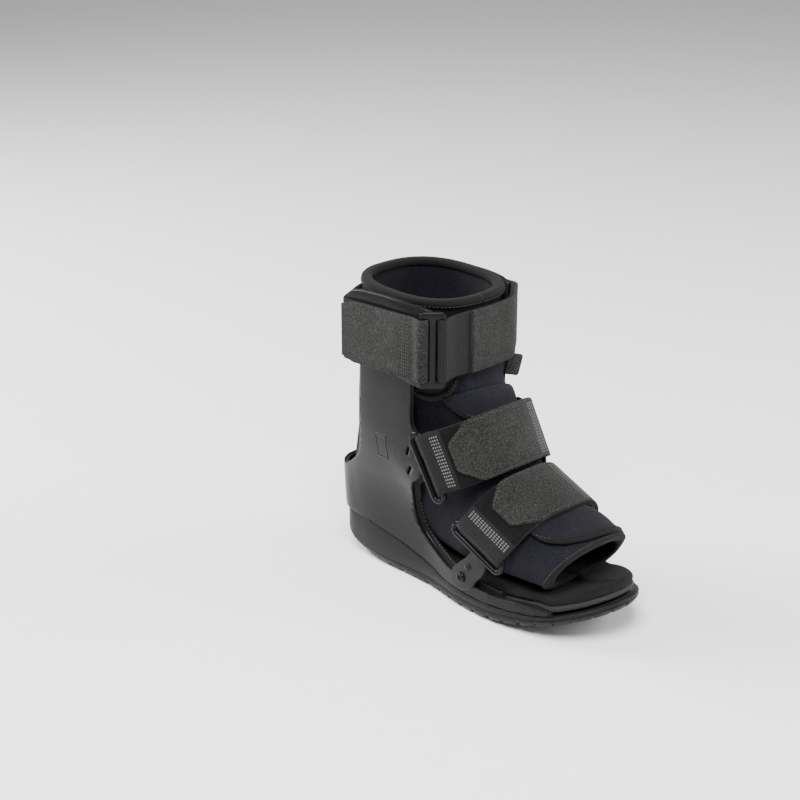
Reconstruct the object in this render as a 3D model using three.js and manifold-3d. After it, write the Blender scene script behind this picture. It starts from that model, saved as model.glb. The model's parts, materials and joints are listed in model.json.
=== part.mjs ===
// Short walking boot for a right or left foot, in millimetres.
// The toe points to -Y, the side with the buckle is -X, Z is up and the sole stands on Z = 0.
import * as THREE from 'three';
import { mergeVertices } from 'three/addons/utils/BufferGeometryUtils.js';
import Module from 'manifold-3d';

const wasm = await Module();
wasm.setup();

// driving sizes
const gap = 0.35;
const footLength = 290;
const bootHeight = 244;
const ballWidth = 111.2;
const heelWidth = 78.2;
const waistWidth = 84;
const toeRise = 26;
const heelRise = 13;
const shellWall = 4;
const railInset = 0.6;
const plateThickness = 3.4;
const cupFloor = 22;
const cupWall = 3.6;
const footbedToeInset = 4.6;
const footbedSideInset = 8.6;
const uprightHalfWidth = 58.4;
const linerWall = 6;
const strapThickness = 2.2;
const wingThickness = 4;
const ringBar = 2.4;
const bracketThickness = 3;
const railTurn = 0.12;
const rivetRadius = 4.2;
const tongueLift = 1;
const tongueThickness = 3;
const toeFlapLift = 1.2;
const toeFlapThickness = 2.8;
const ankleFlapThickness = 2.5;
const ankleFlapLift = 0.5;
const buckleWidth = 21;
const buckleHeight = 62;
const buckleDepth = 3.6;
const buckleSlotWidth = 4.6;
const buckleSlotPlace = 5;
const buckleBorder = 6;
const tabSide = 15;
const slotLength = 10;
const slotHeight = 1.8;

// Each number in the tables is a share of the size that it follows: the lengths along the foot
// are parts of 290, the heights parts of 244, the widths at the ankle parts of 58.4 and the
// widths at the ball of the foot parts of 111.2.
const lengthShare = footLength / 290;
const heightShare = bootHeight / 244;
const ankleShare = uprightHalfWidth / 58.4;
const ballShare = ballWidth / 111.2;
const soleFront = -147.5 * lengthShare;
const soleBack = soleFront + footLength;
const bracketMiddle = 51.1 * ballShare;
const toeRiseStart = -20 * lengthShare;
const heelRiseStart = 66 * lengthShare;
const ovalFront = -16 * lengthShare;

// outline of the sole: y, share of the named half width
const outlineTable = [
  { y: soleBack, half: 0 },
  { y: 137.8 * lengthShare, half: 0.5 * heelWidth / 2 },
  { y: 124.9 * lengthShare, half: 0.86 * heelWidth / 2 },
  { y: 103.4 * lengthShare, half: heelWidth / 2 },
  { y: 27.5 * lengthShare, half: waistWidth / 2 },
  { y: -17.5 * lengthShare, half: 0.93 * ballWidth / 2 },
  { y: -62.5 * lengthShare, half: ballWidth / 2 },
  { y: -109.5 * lengthShare, half: 0.86 * ballWidth / 2 },
  { y: -133.5 * lengthShare, half: 0.58 * ballWidth / 2 },
  { y: -144.5 * lengthShare, half: 0.28 * ballWidth / 2 },
  { y: soleFront, half: 0 },
];
const outlineSteps = 4;

// heights along the sole: y, top edge of the rubber, top of the footbed
const heightTable = [
  { y: -147.5, rubber: 34.5, footbed: 46 },
  { y: -130, rubber: 28, footbed: 40.5 },
  { y: -110, rubber: 21.5, footbed: 35.2 },
  { y: -90, rubber: 17.8, footbed: 31.2 },
  { y: -60, rubber: 15, footbed: 28.6 },
  { y: -20, rubber: 14, footbed: 28.2 },
  { y: 5, rubber: 15, footbed: 29 },
  { y: 24, rubber: 20, footbed: 30 },
  { y: 60, rubber: 29, footbed: 31 },
  { y: 95, rubber: 36, footbed: 32 },
  { y: 150, rubber: 39, footbed: 32 },
].map((row) => ({
  y: row.y * lengthShare, rubber: row.rubber * heightShare, footbed: row.footbed * heightShare,
}));

// levels of the shell: z, share of the ankle oval in the outline, back of the outline
const shellTable = [
  { z: 4, oval: 0, back: 142.5 },
  { z: 26, oval: 0, back: 144.5 },
  { z: 40, oval: 0.02, back: 147.4 },
  { z: 52, oval: 0.06, back: 148.1 },
  { z: 66, oval: 0.16, back: 147.6 },
  { z: 80, oval: 0.34, back: 145 },
  { z: 96, oval: 0.6, back: 139 },
  { z: 115, oval: 0.84, back: 132 },
  { z: 140, oval: 1, back: 128 },
  { z: 206, oval: 1, back: 128 },
].map((row) => ({ z: row.z * heightShare, oval: row.oval, back: row.back * lengthShare }));
const ovalPower = 3;

// edge of the shell seen from the side: y, z, from the heel over the upright to the toe
const shellEdge = [
  [170, -8], [170, 78], [147.5, 78], [135, 79], [122, 82], [111, 89], [101, 98], [96, 108],
  [92.5, 121], [90.5, 140], [89.5, 160], [88.5, 178], [88, 196], [84, 200],
  [38, 200], [31, 196], [30, 180], [30, 146], [27, 140], [20.5, 132], [16.5, 122], [16.5, 110],
  [22, 101], [30, 94], [34, 85], [36.5, 75], [37.5, 65], [35, 55], [29.5, 46.5], [20, 39.5],
  [8.5, 34], [-3, 30], [-17, 27.6], [-36, 26.2], [-50, 25], [-65, 25], [-80, 26.5],
  [-92, 27], [-103, 25.5], [-110, 23.5], [-113.5, 19], [-113.5, -8],
].map(([y, z]) => [y * lengthShare, z * heightShare]);
const rimFirst = 24;
const rimLast = 37;

// sections of the liner: dorsal y and z, plantar y and z, half width near each end;
// the foot piece ends and the leg piece starts at the seam row
const linerAnkleRow = 5;
const linerSeamRow = 7;
const linerSeamShare = 0.024;
const linerTable = [
  { dy: -114, dz: 71.5, py: -91, pz: 32.2, front: 42, rear: 45 },
  { dy: -93, dz: 79, py: -82, pz: 30.8, front: 43, rear: 46 },
  { dy: -70, dz: 87, py: -66, pz: 29.6, front: 43, rear: 46 },
  { dy: -50, dz: 93, py: -45, pz: 29, front: 42, rear: 45 },
  { dy: -36, dz: 100, py: -18, pz: 28.9, front: 41, rear: 42 },
  { dy: -29, dz: 110, py: 15, pz: 30, front: 41, rear: 38 },
  { dy: -24, dz: 121, py: 60, pz: 31.8, front: 43, rear: 35.5 },
  { dy: -19.5, dz: 134, py: 104, pz: 32.8, front: 46, rear: 34 },
  { dy: -14, dz: 148, py: 134, pz: 43, front: 49, rear: 34.5 },
  { dy: -5.5, dz: 164, py: 139, pz: 68, front: 51, rear: 36 },
  { dy: 2.5, dz: 180, py: 129, pz: 105, front: 51.5, rear: 42 },
  { dy: 6.5, dz: 198, py: 120, pz: 145, front: 52, rear: 47 },
  { dy: 8.5, dz: 216, py: 117, pz: 185, front: 52, rear: 50 },
  { dy: 9.5, dz: 232, py: 117.5, pz: 220, front: 52, rear: 51 },
  { dy: 9.5, dz: 244, py: 119, pz: 244, front: 53, rear: 52 },
].map((row, i) => {
  const wide = i < linerAnkleRow ? ballShare : ankleShare;
  return {
    dy: row.dy * lengthShare,
    dz: row.dz * heightShare,
    py: row.py * lengthShare,
    pz: row.pz * heightShare,
    front: row.front * wide,
    rear: row.rear * wide,
  };
});
const linerSides = 28;
const linerSteps = 2;
const linerPower = 2.5;

// plates beside the ankle: x, y, lower z, upper z
const wingRows = {
  lateral: [
    { x: 60.4, y: 96.5, low: 204, high: 238 }, { x: 60.4, y: 93, low: 199, high: 243.5 },
    { x: 60.4, y: 84, low: 193, high: 246.5 }, { x: 60.3, y: 60, low: 188, high: 247.5 },
    { x: 60.2, y: 40, low: 184, high: 247 }, { x: 58.9, y: 24, low: 180, high: 245.5 },
    { x: 56.9, y: 15, low: 179, high: 244.5 }, { x: 53.9, y: 10.5, low: 184, high: 243 },
  ],
  medial: [
    { x: 60.4, y: 96.5, low: 204, high: 236 }, { x: 60.4, y: 93, low: 199, high: 241 },
    { x: 60.4, y: 84, low: 193, high: 243.5 }, { x: 60.3, y: 66, low: 188, high: 244 },
    { x: 60.2, y: 50, low: 186, high: 243 }, { x: 59.8, y: 38, low: 184, high: 241 },
    { x: 59.3, y: 32, low: 188, high: 238 },
  ],
};
const scaledWing = (rows) => rows.map((row) => ({
  x: row.x * ankleShare,
  y: row.y * lengthShare,
  low: row.low * heightShare,
  high: row.high * heightShare,
}));
const wingTable = { lateral: scaledWing(wingRows.lateral), medial: scaledWing(wingRows.medial) };

function scaledPlan([x, y]) {
  return [x * ankleShare, y * lengthShare];
}

function scaledStrap(rows, wide) {
  return rows.map((row) => ({
    ...row, x: row.x * wide, y: row.y * lengthShare, z: row.z * heightShare,
  }));
}

function scaledRing(row, wide) {
  return {
    x: row.x * wide,
    ty: row.ty * lengthShare,
    tz: row.tz * heightShare,
    by: row.by * lengthShare,
    bz: row.bz * heightShare,
  };
}

// middle line of the upper strap around the leg: x, y
const upperStrapPath = [
  [-62.8, 19], [-63.6, 36], [-64.1, 60], [-64.2, 80], [-64.2, 96], [-62, 99], [-44, 108.4],
  [-26, 116.6], [0, 119.6], [26, 116.6], [44, 108.4], [62, 99], [64.2, 96], [64.1, 80],
  [63.9, 62], [63.7, 44], [62.6, 30], [58.6, 26.3], [46, 16.3], [33, 6.4], [26, 3.6], [0, 1.6],
  [-30, 2.2], [-45, 3.4],
].map(scaledPlan);
const upperStrapWidth = 50.5;
const upperStrapLow = 187 * heightShare;
const upperStrapHigh = upperStrapLow + upperStrapWidth;
const lateralOverlapPath = [
  [-65.4, 20], [-66.2, 36], [-66.7, 60], [-66.9, 80], [-67, 96.5],
].map(scaledPlan);
const frontOverlapPath = [
  [67, 96.5], [66.9, 80], [66.5, 62], [66.3, 43.6], [64.9, 28.4], [60.2, 24.1], [47.6, 14.2],
  [34.2, 4], [26.4, 1.05], [14, 0], [0, -1.1], [-12, -0.95], [-20, -0.75],
].map(scaledPlan);

// middle lines of the lower straps: x, y, z, then the direction and half of the width
const midStrapWidth = 50;
const midStrapPath = scaledStrap([
  { x: -57.9, y: 2.6, z: 120.4, dy: 0.52, dz: 0.854 }, { x: -51, y: -7, z: 124.5, dy: 0.5, dz: 0.866 },
  { x: -38, y: -16, z: 129, dy: 0.46, dz: 0.888 }, { x: -20, y: -23.2, z: 133.5, dy: 0.42, dz: 0.908 },
  { x: 0, y: -26, z: 135, dy: 0.41, dz: 0.912 }, { x: 20, y: -24.2, z: 134, dy: 0.42, dz: 0.908 },
  { x: 38, y: -17.5, z: 129.5, dy: 0.45, dz: 0.893 }, { x: 51, y: -9.5, z: 123, dy: 0.46, dz: 0.888 },
  { x: 57.9, y: -1.6, z: 118.1, dy: 0.5, dz: 0.866 },
], ankleShare);
const frontStrapWidth = 49;
const frontStrapPath = scaledStrap([
  { x: -55.6, y: -48.3, z: 72, dy: 0.896, dz: 0.444 }, { x: -49, y: -53, z: 81.4, dy: 0.9, dz: 0.436 },
  { x: -36, y: -57.5, z: 91.6, dy: 0.91, dz: 0.414 }, { x: -18, y: -61, z: 97, dy: 0.92, dz: 0.392 },
  { x: 0, y: -62.5, z: 98.2, dy: 0.92, dz: 0.392 }, { x: 18, y: -61, z: 97, dy: 0.92, dz: 0.392 },
  { x: 36, y: -57.5, z: 91.6, dy: 0.91, dz: 0.414 }, { x: 49, y: -53, z: 81.4, dy: 0.9, dz: 0.436 },
  { x: 55.6, y: -48.3, z: 72, dy: 0.896, dz: 0.444 },
], ballShare);

// share of the width at the first sections of an upper strap layer
const overlapTip = [0.34, 0.62, 0.84, 0.97];

// long rings: x, top y and z, bottom y and z
const ringTable = {
  mid_lateral: scaledRing({ x: -59.6, ty: 24.5, tz: 141.5, by: -7.5, bz: 89 }, ankleShare),
  mid_medial: scaledRing({ x: 59.6, ty: 20.5, tz: 140.5, by: -10.5, bz: 86.5 }, ankleShare),
  front_lateral: scaledRing({ x: -57.4, ty: -17.5, tz: 75.5, by: -70, bz: 50 }, ballShare),
  front_medial: scaledRing({ x: 57.4, ty: -17.5, tz: 75.5, by: -70, bz: 50 }, ballShare),
};
const ringWidth = 15;

// Plain helpers.

function smoothTable(rows, key, at, name) {
  if (at <= rows[0][key]) return rows[0][name];
  for (let i = 1; i < rows.length; i += 1) {
    const a = rows[i - 1];
    const b = rows[i];
    if (at <= b[key]) {
      const t = (at - a[key]) / (b[key] - a[key]);
      return a[name] + (b[name] - a[name]) * t;
    }
  }
  return rows[rows.length - 1][name];
}

function curveThrough(points, steps) {
  const curve = new THREE.CatmullRomCurve3(points, false, 'centripetal');
  return curve.getPoints((points.length - 1) * steps);
}

function meshFrom(points, triangles) {
  const geometry = new THREE.BufferGeometry();
  geometry.setAttribute('position', new THREE.Float32BufferAttribute(points.flat(), 3));
  geometry.setIndex(triangles.flat());
  return geometry;
}

function quad(a, b, c, d) {
  return [[a, b, c], [a, c, d]];
}

function toManifold(geometry) {
  const bare = geometry.clone();
  bare.deleteAttribute('normal');
  bare.deleteAttribute('uv');
  const merged = mergeVertices(bare, 1e-4);
  const solid = new wasm.Manifold(new wasm.Mesh({
    numProp: 3,
    vertProperties: new Float32Array(merged.attributes.position.array),
    triVerts: new Uint32Array(merged.index.array),
  }));
  return solid;
}

function fromManifold(solid) {
  const mesh = solid.getMesh();
  const geometry = new THREE.BufferGeometry();
  geometry.setAttribute('position', new THREE.Float32BufferAttribute(mesh.vertProperties, 3));
  geometry.setIndex(Array.from(mesh.triVerts));
  return geometry;
}

// Solids from sections.

// Rings of equal length joined in order; each end is closed by strips across the ring.
function stackOfRings(rings) {
  const count = rings[0].length;
  const points = rings.flat();
  const triangles = [];
  for (let level = 0; level + 1 < rings.length; level += 1) {
    for (let i = 0; i < count; i += 1) {
      const next = (i + 1) % count;
      const a = level * count;
      const b = a + count;
      triangles.push(...quad(a + i, a + next, b + next, b + i));
    }
  }
  const top = (rings.length - 1) * count;
  const half = count / 2;
  for (let i = 0; i < half; i += 1) {
    const far = (count - i) % count;
    const farNext = count - i - 1;
    if (i > 0) triangles.push([top + i, top + i + 1, top + far], [i, far, i + 1]);
    if (i + 1 < half) triangles.push([top + i + 1, top + farNext, top + far], [i + 1, far, farNext]);
  }
  return meshFrom(points, triangles);
}

// Rings joined into a closed tube whose last ring meets the first one.
function closedTube(rings) {
  const count = rings[0].length;
  const triangles = [];
  for (let level = 0; level < rings.length; level += 1) {
    const a = level * count;
    const b = ((level + 1) % rings.length) * count;
    for (let i = 0; i < count; i += 1) {
      const next = (i + 1) % count;
      triangles.push(...quad(a + i, a + next, b + next, b + i));
    }
  }
  return meshFrom(rings.flat(), triangles);
}

// Four-cornered sections joined in order and closed at both ends.
function bar(sections) {
  const triangles = [];
  const count = 4;
  for (let level = 0; level + 1 < sections.length; level += 1) {
    for (let i = 0; i < count; i += 1) {
      const next = (i + 1) % count;
      const a = level * count;
      const b = a + count;
      triangles.push(...quad(a + i, a + next, b + next, b + i));
    }
  }
  const last = (sections.length - 1) * count;
  triangles.push(...quad(3, 2, 1, 0), ...quad(last, last + 1, last + 2, last + 3));
  return meshFrom(sections.flat(), triangles);
}

// Band through centre points: width vectors are unit, the outer face lies along tangent x width.
function ribbon(centres, widths, halves, thickness) {
  const sections = centres.map((centre, i) => {
    const before = centres[Math.max(i - 1, 0)];
    const after = centres[Math.min(i + 1, centres.length - 1)];
    const tangent = after.clone().sub(before).normalize();
    const normal = tangent.clone().cross(widths[i]).normalize();
    const side = widths[i].clone().multiplyScalar(halves[i]);
    const lift = normal.multiplyScalar(thickness / 2);
    const corner = (s, l) => centre.clone().addScaledVector(side, s).addScaledVector(lift, l).toArray();
    return [corner(-1, -1), corner(1, -1), corner(1, 1), corner(-1, 1)];
  });
  return bar(sections);
}

function upright(path, low, high, thickness, steps) {
  const centres = curveThrough(path.map(([x, y]) => new THREE.Vector3(x, y, (low + high) / 2)), steps);
  const widths = centres.map(() => new THREE.Vector3(0, 0, 1));
  const halves = centres.map(() => (high - low) / 2);
  return ribbon(centres, widths, halves, thickness);
}

// Sole and footbed.

function offsetRing(ring, amount) {
  return ring.map(([x, y], i) => {
    const inset = typeof amount === 'function' ? amount(y) : amount;
    const before = ring[(i + ring.length - 1) % ring.length];
    const after = ring[(i + 1) % ring.length];
    const dx = after[0] - before[0];
    const dy = after[1] - before[1];
    const length = Math.hypot(dx, dy);
    return [x - (inset * dy) / length, y + (inset * dx) / length];
  });
}

function soleRing(back) {
  const from = 60 * lengthShare;
  const stretch = (y) => (y > from ? y + ((back - soleBack) * (y - from)) / (soleBack - from) : y);
  const side = outlineTable.map((row) => new THREE.Vector3(row.half, stretch(row.y), 0));
  const mirrored = (p) => new THREE.Vector3(-p.x, p.y, 0);
  const full = [mirrored(side[1]), ...side, mirrored(side[side.length - 2])];
  const curve = new THREE.CatmullRomCurve3(full, false, 'centripetal');
  const right = curve.getPoints((full.length - 1) * outlineSteps)
    .slice(outlineSteps, (full.length - 2) * outlineSteps + 1)
    .map((p) => [Math.max(p.x, 0), p.y]);
  right[0][0] = 0;
  right[right.length - 1][0] = 0;
  const left = right.slice(1, -1).reverse().map(([x, y]) => [-x, y]);
  return [...right, ...left].reverse();
}

function soleBottom(y) {
  const toe = Math.max((toeRiseStart - y) / (toeRiseStart - soleFront), 0);
  const heel = Math.max((y - heelRiseStart) / (soleBack - heelRiseStart), 0);
  return toeRise * toe ** 2 + heelRise * heel ** 2;
}

function rubberTop(y) {
  return smoothTable(heightTable, 'y', y, 'rubber');
}

function footbedTop(y) {
  return smoothTable(heightTable, 'y', y, 'footbed');
}

function cupFloorAt(y) {
  return y > 0 ? Math.min(cupFloor, rubberTop(y)) : rubberTop(y);
}

function plateTop(y) {
  const taper = THREE.MathUtils.clamp((y / lengthShare + 112) / 20, 0.15, 1);
  return cupFloorAt(y) + gap + plateThickness * taper;
}

// Slab between heights that change along the sole, one level per row.
function slab(levels) {
  const base = soleRing(soleBack);
  const start = base.findIndex(([x, y]) => x === 0 && y > 0);
  const turned = [...base.slice(start), ...base.slice(0, start)];
  return stackOfRings(levels.map(({ inset, height }) => (
    offsetRing(turned, inset).map(([x, y]) => [x, y, height(y)]))));
}

// The walls of the heel lean in towards the ground.
function heelDraft(y) {
  return 4 * THREE.MathUtils.clamp((y / lengthShare - 40) / 60, 0, 1);
}

function makeOutsole() {
  const body = toManifold(slab([
    { inset: (y) => 3.2 + heelDraft(y), height: (y) => soleBottom(y) },
    { inset: (y) => 1 + 0.8 * heelDraft(y), height: (y) => soleBottom(y) + 2.5 },
    { inset: 0, height: (y) => soleBottom(y) + Math.min(7, 0.6 * (rubberTop(y) - soleBottom(y))) },
    { inset: 0, height: (y) => rubberTop(y) },
  ]));
  const recess = toManifold(slab([
    { inset: cupWall, height: (y) => (y > 5 ? cupFloor : rubberTop(y) + 4) },
    { inset: cupWall, height: () => 80 },
  ]));
  return fromManifold(body.subtract(recess));
}

// The pad fills the toe and leaves room for the trim beside the rails.
function footbedInset(extra) {
  const share = (y) => THREE.MathUtils.clamp((y / lengthShare + 108) / 12, 0, 1);
  return (y) => footbedToeInset + (footbedSideInset - footbedToeInset) * share(y) + extra;
}

function makeFootbed(extra, low, high) {
  return slab([
    { inset: footbedInset(extra), height: low },
    { inset: footbedInset(extra), height: (y) => high(y) - 2 },
    { inset: footbedInset(extra + 2), height: high },
  ]);
}

// Shell.

function shellRing(row, inset) {
  const base = soleRing(row.back);
  const start = base.findIndex(([x, y]) => x === 0 && y > 0);
  const ring = [...base.slice(start), ...base.slice(0, start)];
  const length = row.back - soleFront;
  const mixed = ring.map(([x, y]) => {
    const along = THREE.MathUtils.clamp((y - soleFront) / length, 0, 1);
    const reach = Math.abs(2 * along - 1);
    const ovalX = Math.sign(x) * uprightHalfWidth * (1 - reach ** ovalPower) ** (1 / ovalPower);
    const ovalY = ovalFront + (row.back - ovalFront) * along;
    return [x + (ovalX - x) * row.oval, y + (ovalY - y) * row.oval];
  });
  return offsetRing(mixed, inset).map(([x, y]) => [x, y, row.z]);
}

function shellHalfAt(y, z, inset) {
  const index = shellTable.findIndex((row) => row.z >= z);
  const a = shellTable[index - 1];
  const b = shellTable[index];
  const t = (z - a.z) / (b.z - a.z);
  const at = (row) => {
    const ring = shellRing(row, inset).filter(([x]) => x > 0).sort((p, q) => p[1] - q[1]);
    return smoothTable(ring.map(([x, ry]) => ({ x, y: ry })), 'y', y, 'x');
  };
  return at(a) * (1 - t) + at(b) * t;
}

function below(height) {
  return toManifold(slab([
    { inset: -20, height: () => -30 },
    { inset: -20, height },
  ]));
}

function sideProfile() {
  const shape = new THREE.Shape(shellEdge.map(([y, z]) => new THREE.Vector2(y, z)));
  const depth = 2 * uprightHalfWidth + 40;
  const geometry = new THREE.ExtrudeGeometry(shape, { depth, bevelEnabled: false, steps: 1 });
  geometry.rotateY(Math.PI / 2);
  geometry.rotateX(Math.PI / 2);
  geometry.translate(-depth / 2, 0, 0);
  return toManifold(geometry);
}

function earSlot(sign) {
  const slot = new THREE.BoxGeometry(5 * shellWall, slotHeight, slotLength);
  slot.rotateX(-0.5);
  slot.translate(sign * uprightHalfWidth, 32.5 * lengthShare, 105 * heightShare);
  return toManifold(slot);
}

function makeShell(linerSpace) {
  const outer = toManifold(stackOfRings(shellTable.map((row) => shellRing(row, railInset))));
  const inner = toManifold(stackOfRings(shellTable.map((row) => shellRing(row, railInset + shellWall))));
  const core = toManifold(slab([
    { inset: cupWall + gap, height: (y) => (y > 5 ? cupFloor : rubberTop(y)) + 2 * gap },
    { inset: cupWall + gap, height: (y) => Math.max(rubberTop(y), y > 5 ? cupFloor : 0) + 2.5 },
  ]));
  const cavity = inner.subtract(below(plateTop));
  let solid = outer.subtract(below((y) => rubberTop(y) + gap)).add(core);
  solid = solid.subtract(cavity).intersect(sideProfile());
  solid = solid.subtract(earSlot(-1)).subtract(earSlot(1)).subtract(linerSpace);
  return fromManifold(solid);
}

function makeRimTrim(sign, linerSpace) {
  const rim = shellEdge.slice(rimFirst, rimLast + 1);
  const points = rim.map(([y, z], i) => {
    const [ay, az] = rim[Math.max(i - 1, 0)];
    const [by, bz] = rim[Math.min(i + 1, rim.length - 1)];
    const length = Math.hypot(by - ay, bz - az);
    const out = new THREE.Vector3(0, (bz - az) / length, (ay - by) / length);
    const x = shellHalfAt(y, z, railInset + shellWall + 1.9);
    return { centre: new THREE.Vector3(sign * x, y, z).addScaledVector(out, 0.5), out };
  });
  const flip = sign > 0 ? 1 : -1;
  const band = ribbon(points.map((p) => p.centre),
    points.map((p) => p.out.clone().multiplyScalar(flip)), points.map(() => 3), 1.5);
  return fromManifold(toManifold(band).subtract(linerSpace));
}

// Liner.

function linerRow(at) {
  const names = ['dy', 'dz', 'py', 'pz', 'front', 'rear'];
  const index = THREE.MathUtils.clamp(Math.floor(at), 0, linerTable.length - 2);
  const t = at - index;
  const row = {};
  const pick = (i) => linerTable[THREE.MathUtils.clamp(i, 0, linerTable.length - 1)];
  names.forEach((name) => {
    const [a, b, c, d] = [pick(index - 1), pick(index), pick(index + 1), pick(index + 2)].map((r) => r[name]);
    row[name] = 0.5 * (2 * b + (c - a) * t + (2 * a - 5 * b + 4 * c - d) * t ** 2
      + (3 * b - a - 3 * c + d) * t ** 3);
  });
  return row;
}

// Point of the liner's outer face: angle 0 is the dorsal line, +90 degrees the medial side.
function linerPoint(at, angle, grow) {
  const row = linerRow(at);
  const dorsal = new THREE.Vector2(row.dy, row.dz);
  const plantar = new THREE.Vector2(row.py, row.pz);
  const axis = dorsal.clone().sub(plantar);
  const halfLength = axis.length() / 2 + grow;
  axis.normalize();
  const centre = dorsal.clone().add(plantar).multiplyScalar(0.5);
  const power = 2 / linerPower;
  const up = Math.sign(Math.cos(angle)) * Math.abs(Math.cos(angle)) ** power;
  const across = Math.sign(Math.sin(angle)) * Math.abs(Math.sin(angle)) ** power;
  const half = row.rear + ((row.front - row.rear) * (1 + up)) / 2 + grow;
  const mid = centre.addScaledVector(axis, up * halfLength);
  return [across * half, mid.x, mid.y];
}

function linerRing(at, grow) {
  return Array.from({ length: linerSides }, (_, i) => linerPoint(at, (2 * Math.PI * i) / linerSides, grow));
}

function linerStations(from, to) {
  const count = Math.round((to - from) * linerSteps);
  return Array.from({ length: count + 1 }, (_, i) => from + ((to - from) * i) / count);
}

function makeLiner(from, to) {
  const stations = linerStations(from, to);
  const outer = stations.map((at) => linerRing(at, 0));
  const inner = [...stations].reverse().map((at) => linerRing(at, -linerWall));
  return closedTube([...outer, ...inner]);
}

function makeLinerSpace() {
  const stations = linerStations(0, linerTable.length - 1);
  return toManifold(stackOfRings(stations.map((at) => linerRing(at, gap))));
}

// Closed band over the end of the liner wall.
function makeBinding(at, shift) {
  const low = linerRing(at, 0.4);
  const inside = linerRing(at, -linerWall - 0.4);
  const moved = (ring, share) => ring.map(([x, y, z]) => (
    [x, y + shift[0] * share, z + shift[1] * share]));
  const bands = [moved(low, 0.12), moved(low, 0.75), moved(linerRing(at, -1.6), 1),
    moved(linerRing(at, 1.6 - linerWall), 1), moved(inside, 0.75), moved(inside, 0.12)];
  return closedTube(at > 0 ? bands : bands.reverse());
}

// Thick patch over the liner between two edges given as functions of the angle; the angle where
// it starts is a function of the row.
function makeFlap(fromAngle, toAngle, firstEdge, lastEdge, under, thickness) {
  const steps = 16;
  const across = 7;
  const sheet = (grow) => Array.from({ length: steps + 1 }, (_, i) => {
    const share = i / steps;
    const first = firstEdge(share);
    const last = lastEdge(share);
    return Array.from({ length: across + 1 }, (__, j) => {
      const at = first + ((last - first) * j) / across;
      const from = fromAngle(at);
      return linerPoint(at, from + (toAngle - from) * share, grow);
    });
  });
  const high = sheet(under + thickness);
  const low = sheet(under).map((row) => [...row].reverse());
  return stripSolid(high.map((row, i) => [...row, ...low[i]]));
}

// The tongue's edge runs up beside the instep and turns outwards above the middle strap.
const tongueEdge = [
  { at: 5.2, angle: -8 }, { at: 6.2, angle: -3 }, { at: 7.4, angle: -10 }, { at: 8.2, angle: -22 },
  { at: 8.65, angle: -31 }, { at: 9.4, angle: -40 }, { at: 9.7, angle: -42 },
];

function tongueStart(at) {
  return THREE.MathUtils.degToRad(smoothTable(tongueEdge, 'at', at, 'angle'));
}

function ankleHem(share) {
  const rear = Math.max(0.6 - share, 0) / 0.6;
  const tip = Math.max(share - 0.7, 0) / 0.3;
  return 9.74 + 0.6 * rear ** 2 + 0.4 * tip ** 2;
}

// Sections of an upper and a reversed lower line, closed by strips at both ends.
function stripSolid(sections) {
  const count = sections[0].length;
  const triangles = [];
  for (let level = 0; level + 1 < sections.length; level += 1) {
    for (let i = 0; i < count; i += 1) {
      const next = (i + 1) % count;
      const a = level * count;
      const b = a + count;
      triangles.push(...quad(a + i, b + i, b + next, a + next));
    }
  }
  const last = (sections.length - 1) * count;
  for (let i = 0; i + 1 < count / 2; i += 1) {
    const far = count - 1 - i;
    triangles.push(...quad(i, i + 1, far - 1, far));
    triangles.push(...quad(last + far, last + far - 1, last + i + 1, last + i));
  }
  return meshFrom(sections.flat(), triangles);
}

// Straps, rings and plates.

// Part of a strap that runs over the instep; the tip shares narrow its first sections.
function lowerStrap(path, width, lift, firstShare, tip) {
  const centres = curveThrough(path.map((row) => new THREE.Vector3(row.x, row.y, row.z)), 3);
  const directions = curveThrough(path.map((row) => new THREE.Vector3(0, row.dy, row.dz)), 3);
  directions.forEach((direction) => direction.normalize());
  const moved = centres.map((centre, i) => {
    const before = centres[Math.max(i - 1, 0)];
    const after = centres[Math.min(i + 1, centres.length - 1)];
    const normal = after.clone().sub(before).normalize().cross(directions[i]).normalize();
    return centre.clone().addScaledVector(normal, lift);
  });
  const first = Math.round(firstShare * (centres.length - 1));
  const shape = tip || [];
  const halves = moved.slice(first).map((_, i) => (width / 2) * (i < shape.length ? shape[i] : 1));
  return ribbon(moved.slice(first), directions.slice(first), halves, strapThickness);
}

function makeRing(row) {
  const sign = Math.sign(row.x);
  const top = new THREE.Vector3(row.x, row.ty, row.tz);
  const bottom = new THREE.Vector3(row.x, row.by, row.bz);
  const along = top.clone().sub(bottom);
  const halfLength = along.length() / 2;
  along.normalize();
  const centre = top.clone().add(bottom).multiplyScalar(0.5);
  const across = new THREE.Vector3(-0.18 * sign, -along.z, along.y).normalize();
  const corner = ringWidth / 2 - ringBar;
  const straight = halfLength - ringWidth / 2;
  const loop = [];
  const turns = 5;
  [1, -1].forEach((end) => {
    for (let i = 0; i <= turns; i += 1) {
      const angle = (Math.PI * i) / turns;
      const a = end * (straight + corner * Math.sin(angle));
      const c = end * corner * Math.cos(angle);
      loop.push(centre.clone().addScaledVector(along, a).addScaledVector(across, c));
    }
  });
  const normal = along.clone().cross(across).normalize();
  const rings = loop.map((point, i) => {
    const before = loop[(i + loop.length - 1) % loop.length];
    const after = loop[(i + 1) % loop.length];
    const tangent = after.clone().sub(before).normalize();
    const outward = tangent.clone().cross(normal).normalize();
    return Array.from({ length: 6 }, (_, k) => {
      const angle = (-Math.PI * k) / 3;
      return point.clone().addScaledVector(outward, ringBar * Math.cos(angle))
        .addScaledVector(normal, ringBar * Math.sin(angle)).toArray();
    });
  });
  return closedTube(rings);
}

function makeWing(rows, sign) {
  const order = sign > 0 ? [...rows].reverse() : rows;
  const centres = order.map((row) => new THREE.Vector3(sign * row.x, row.y, (row.low + row.high) / 2));
  const widths = centres.map(() => new THREE.Vector3(0, 0, -1));
  const halves = order.map((row) => (row.high - row.low) / 2);
  return ribbon(centres, widths, halves, wingThickness);
}

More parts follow.
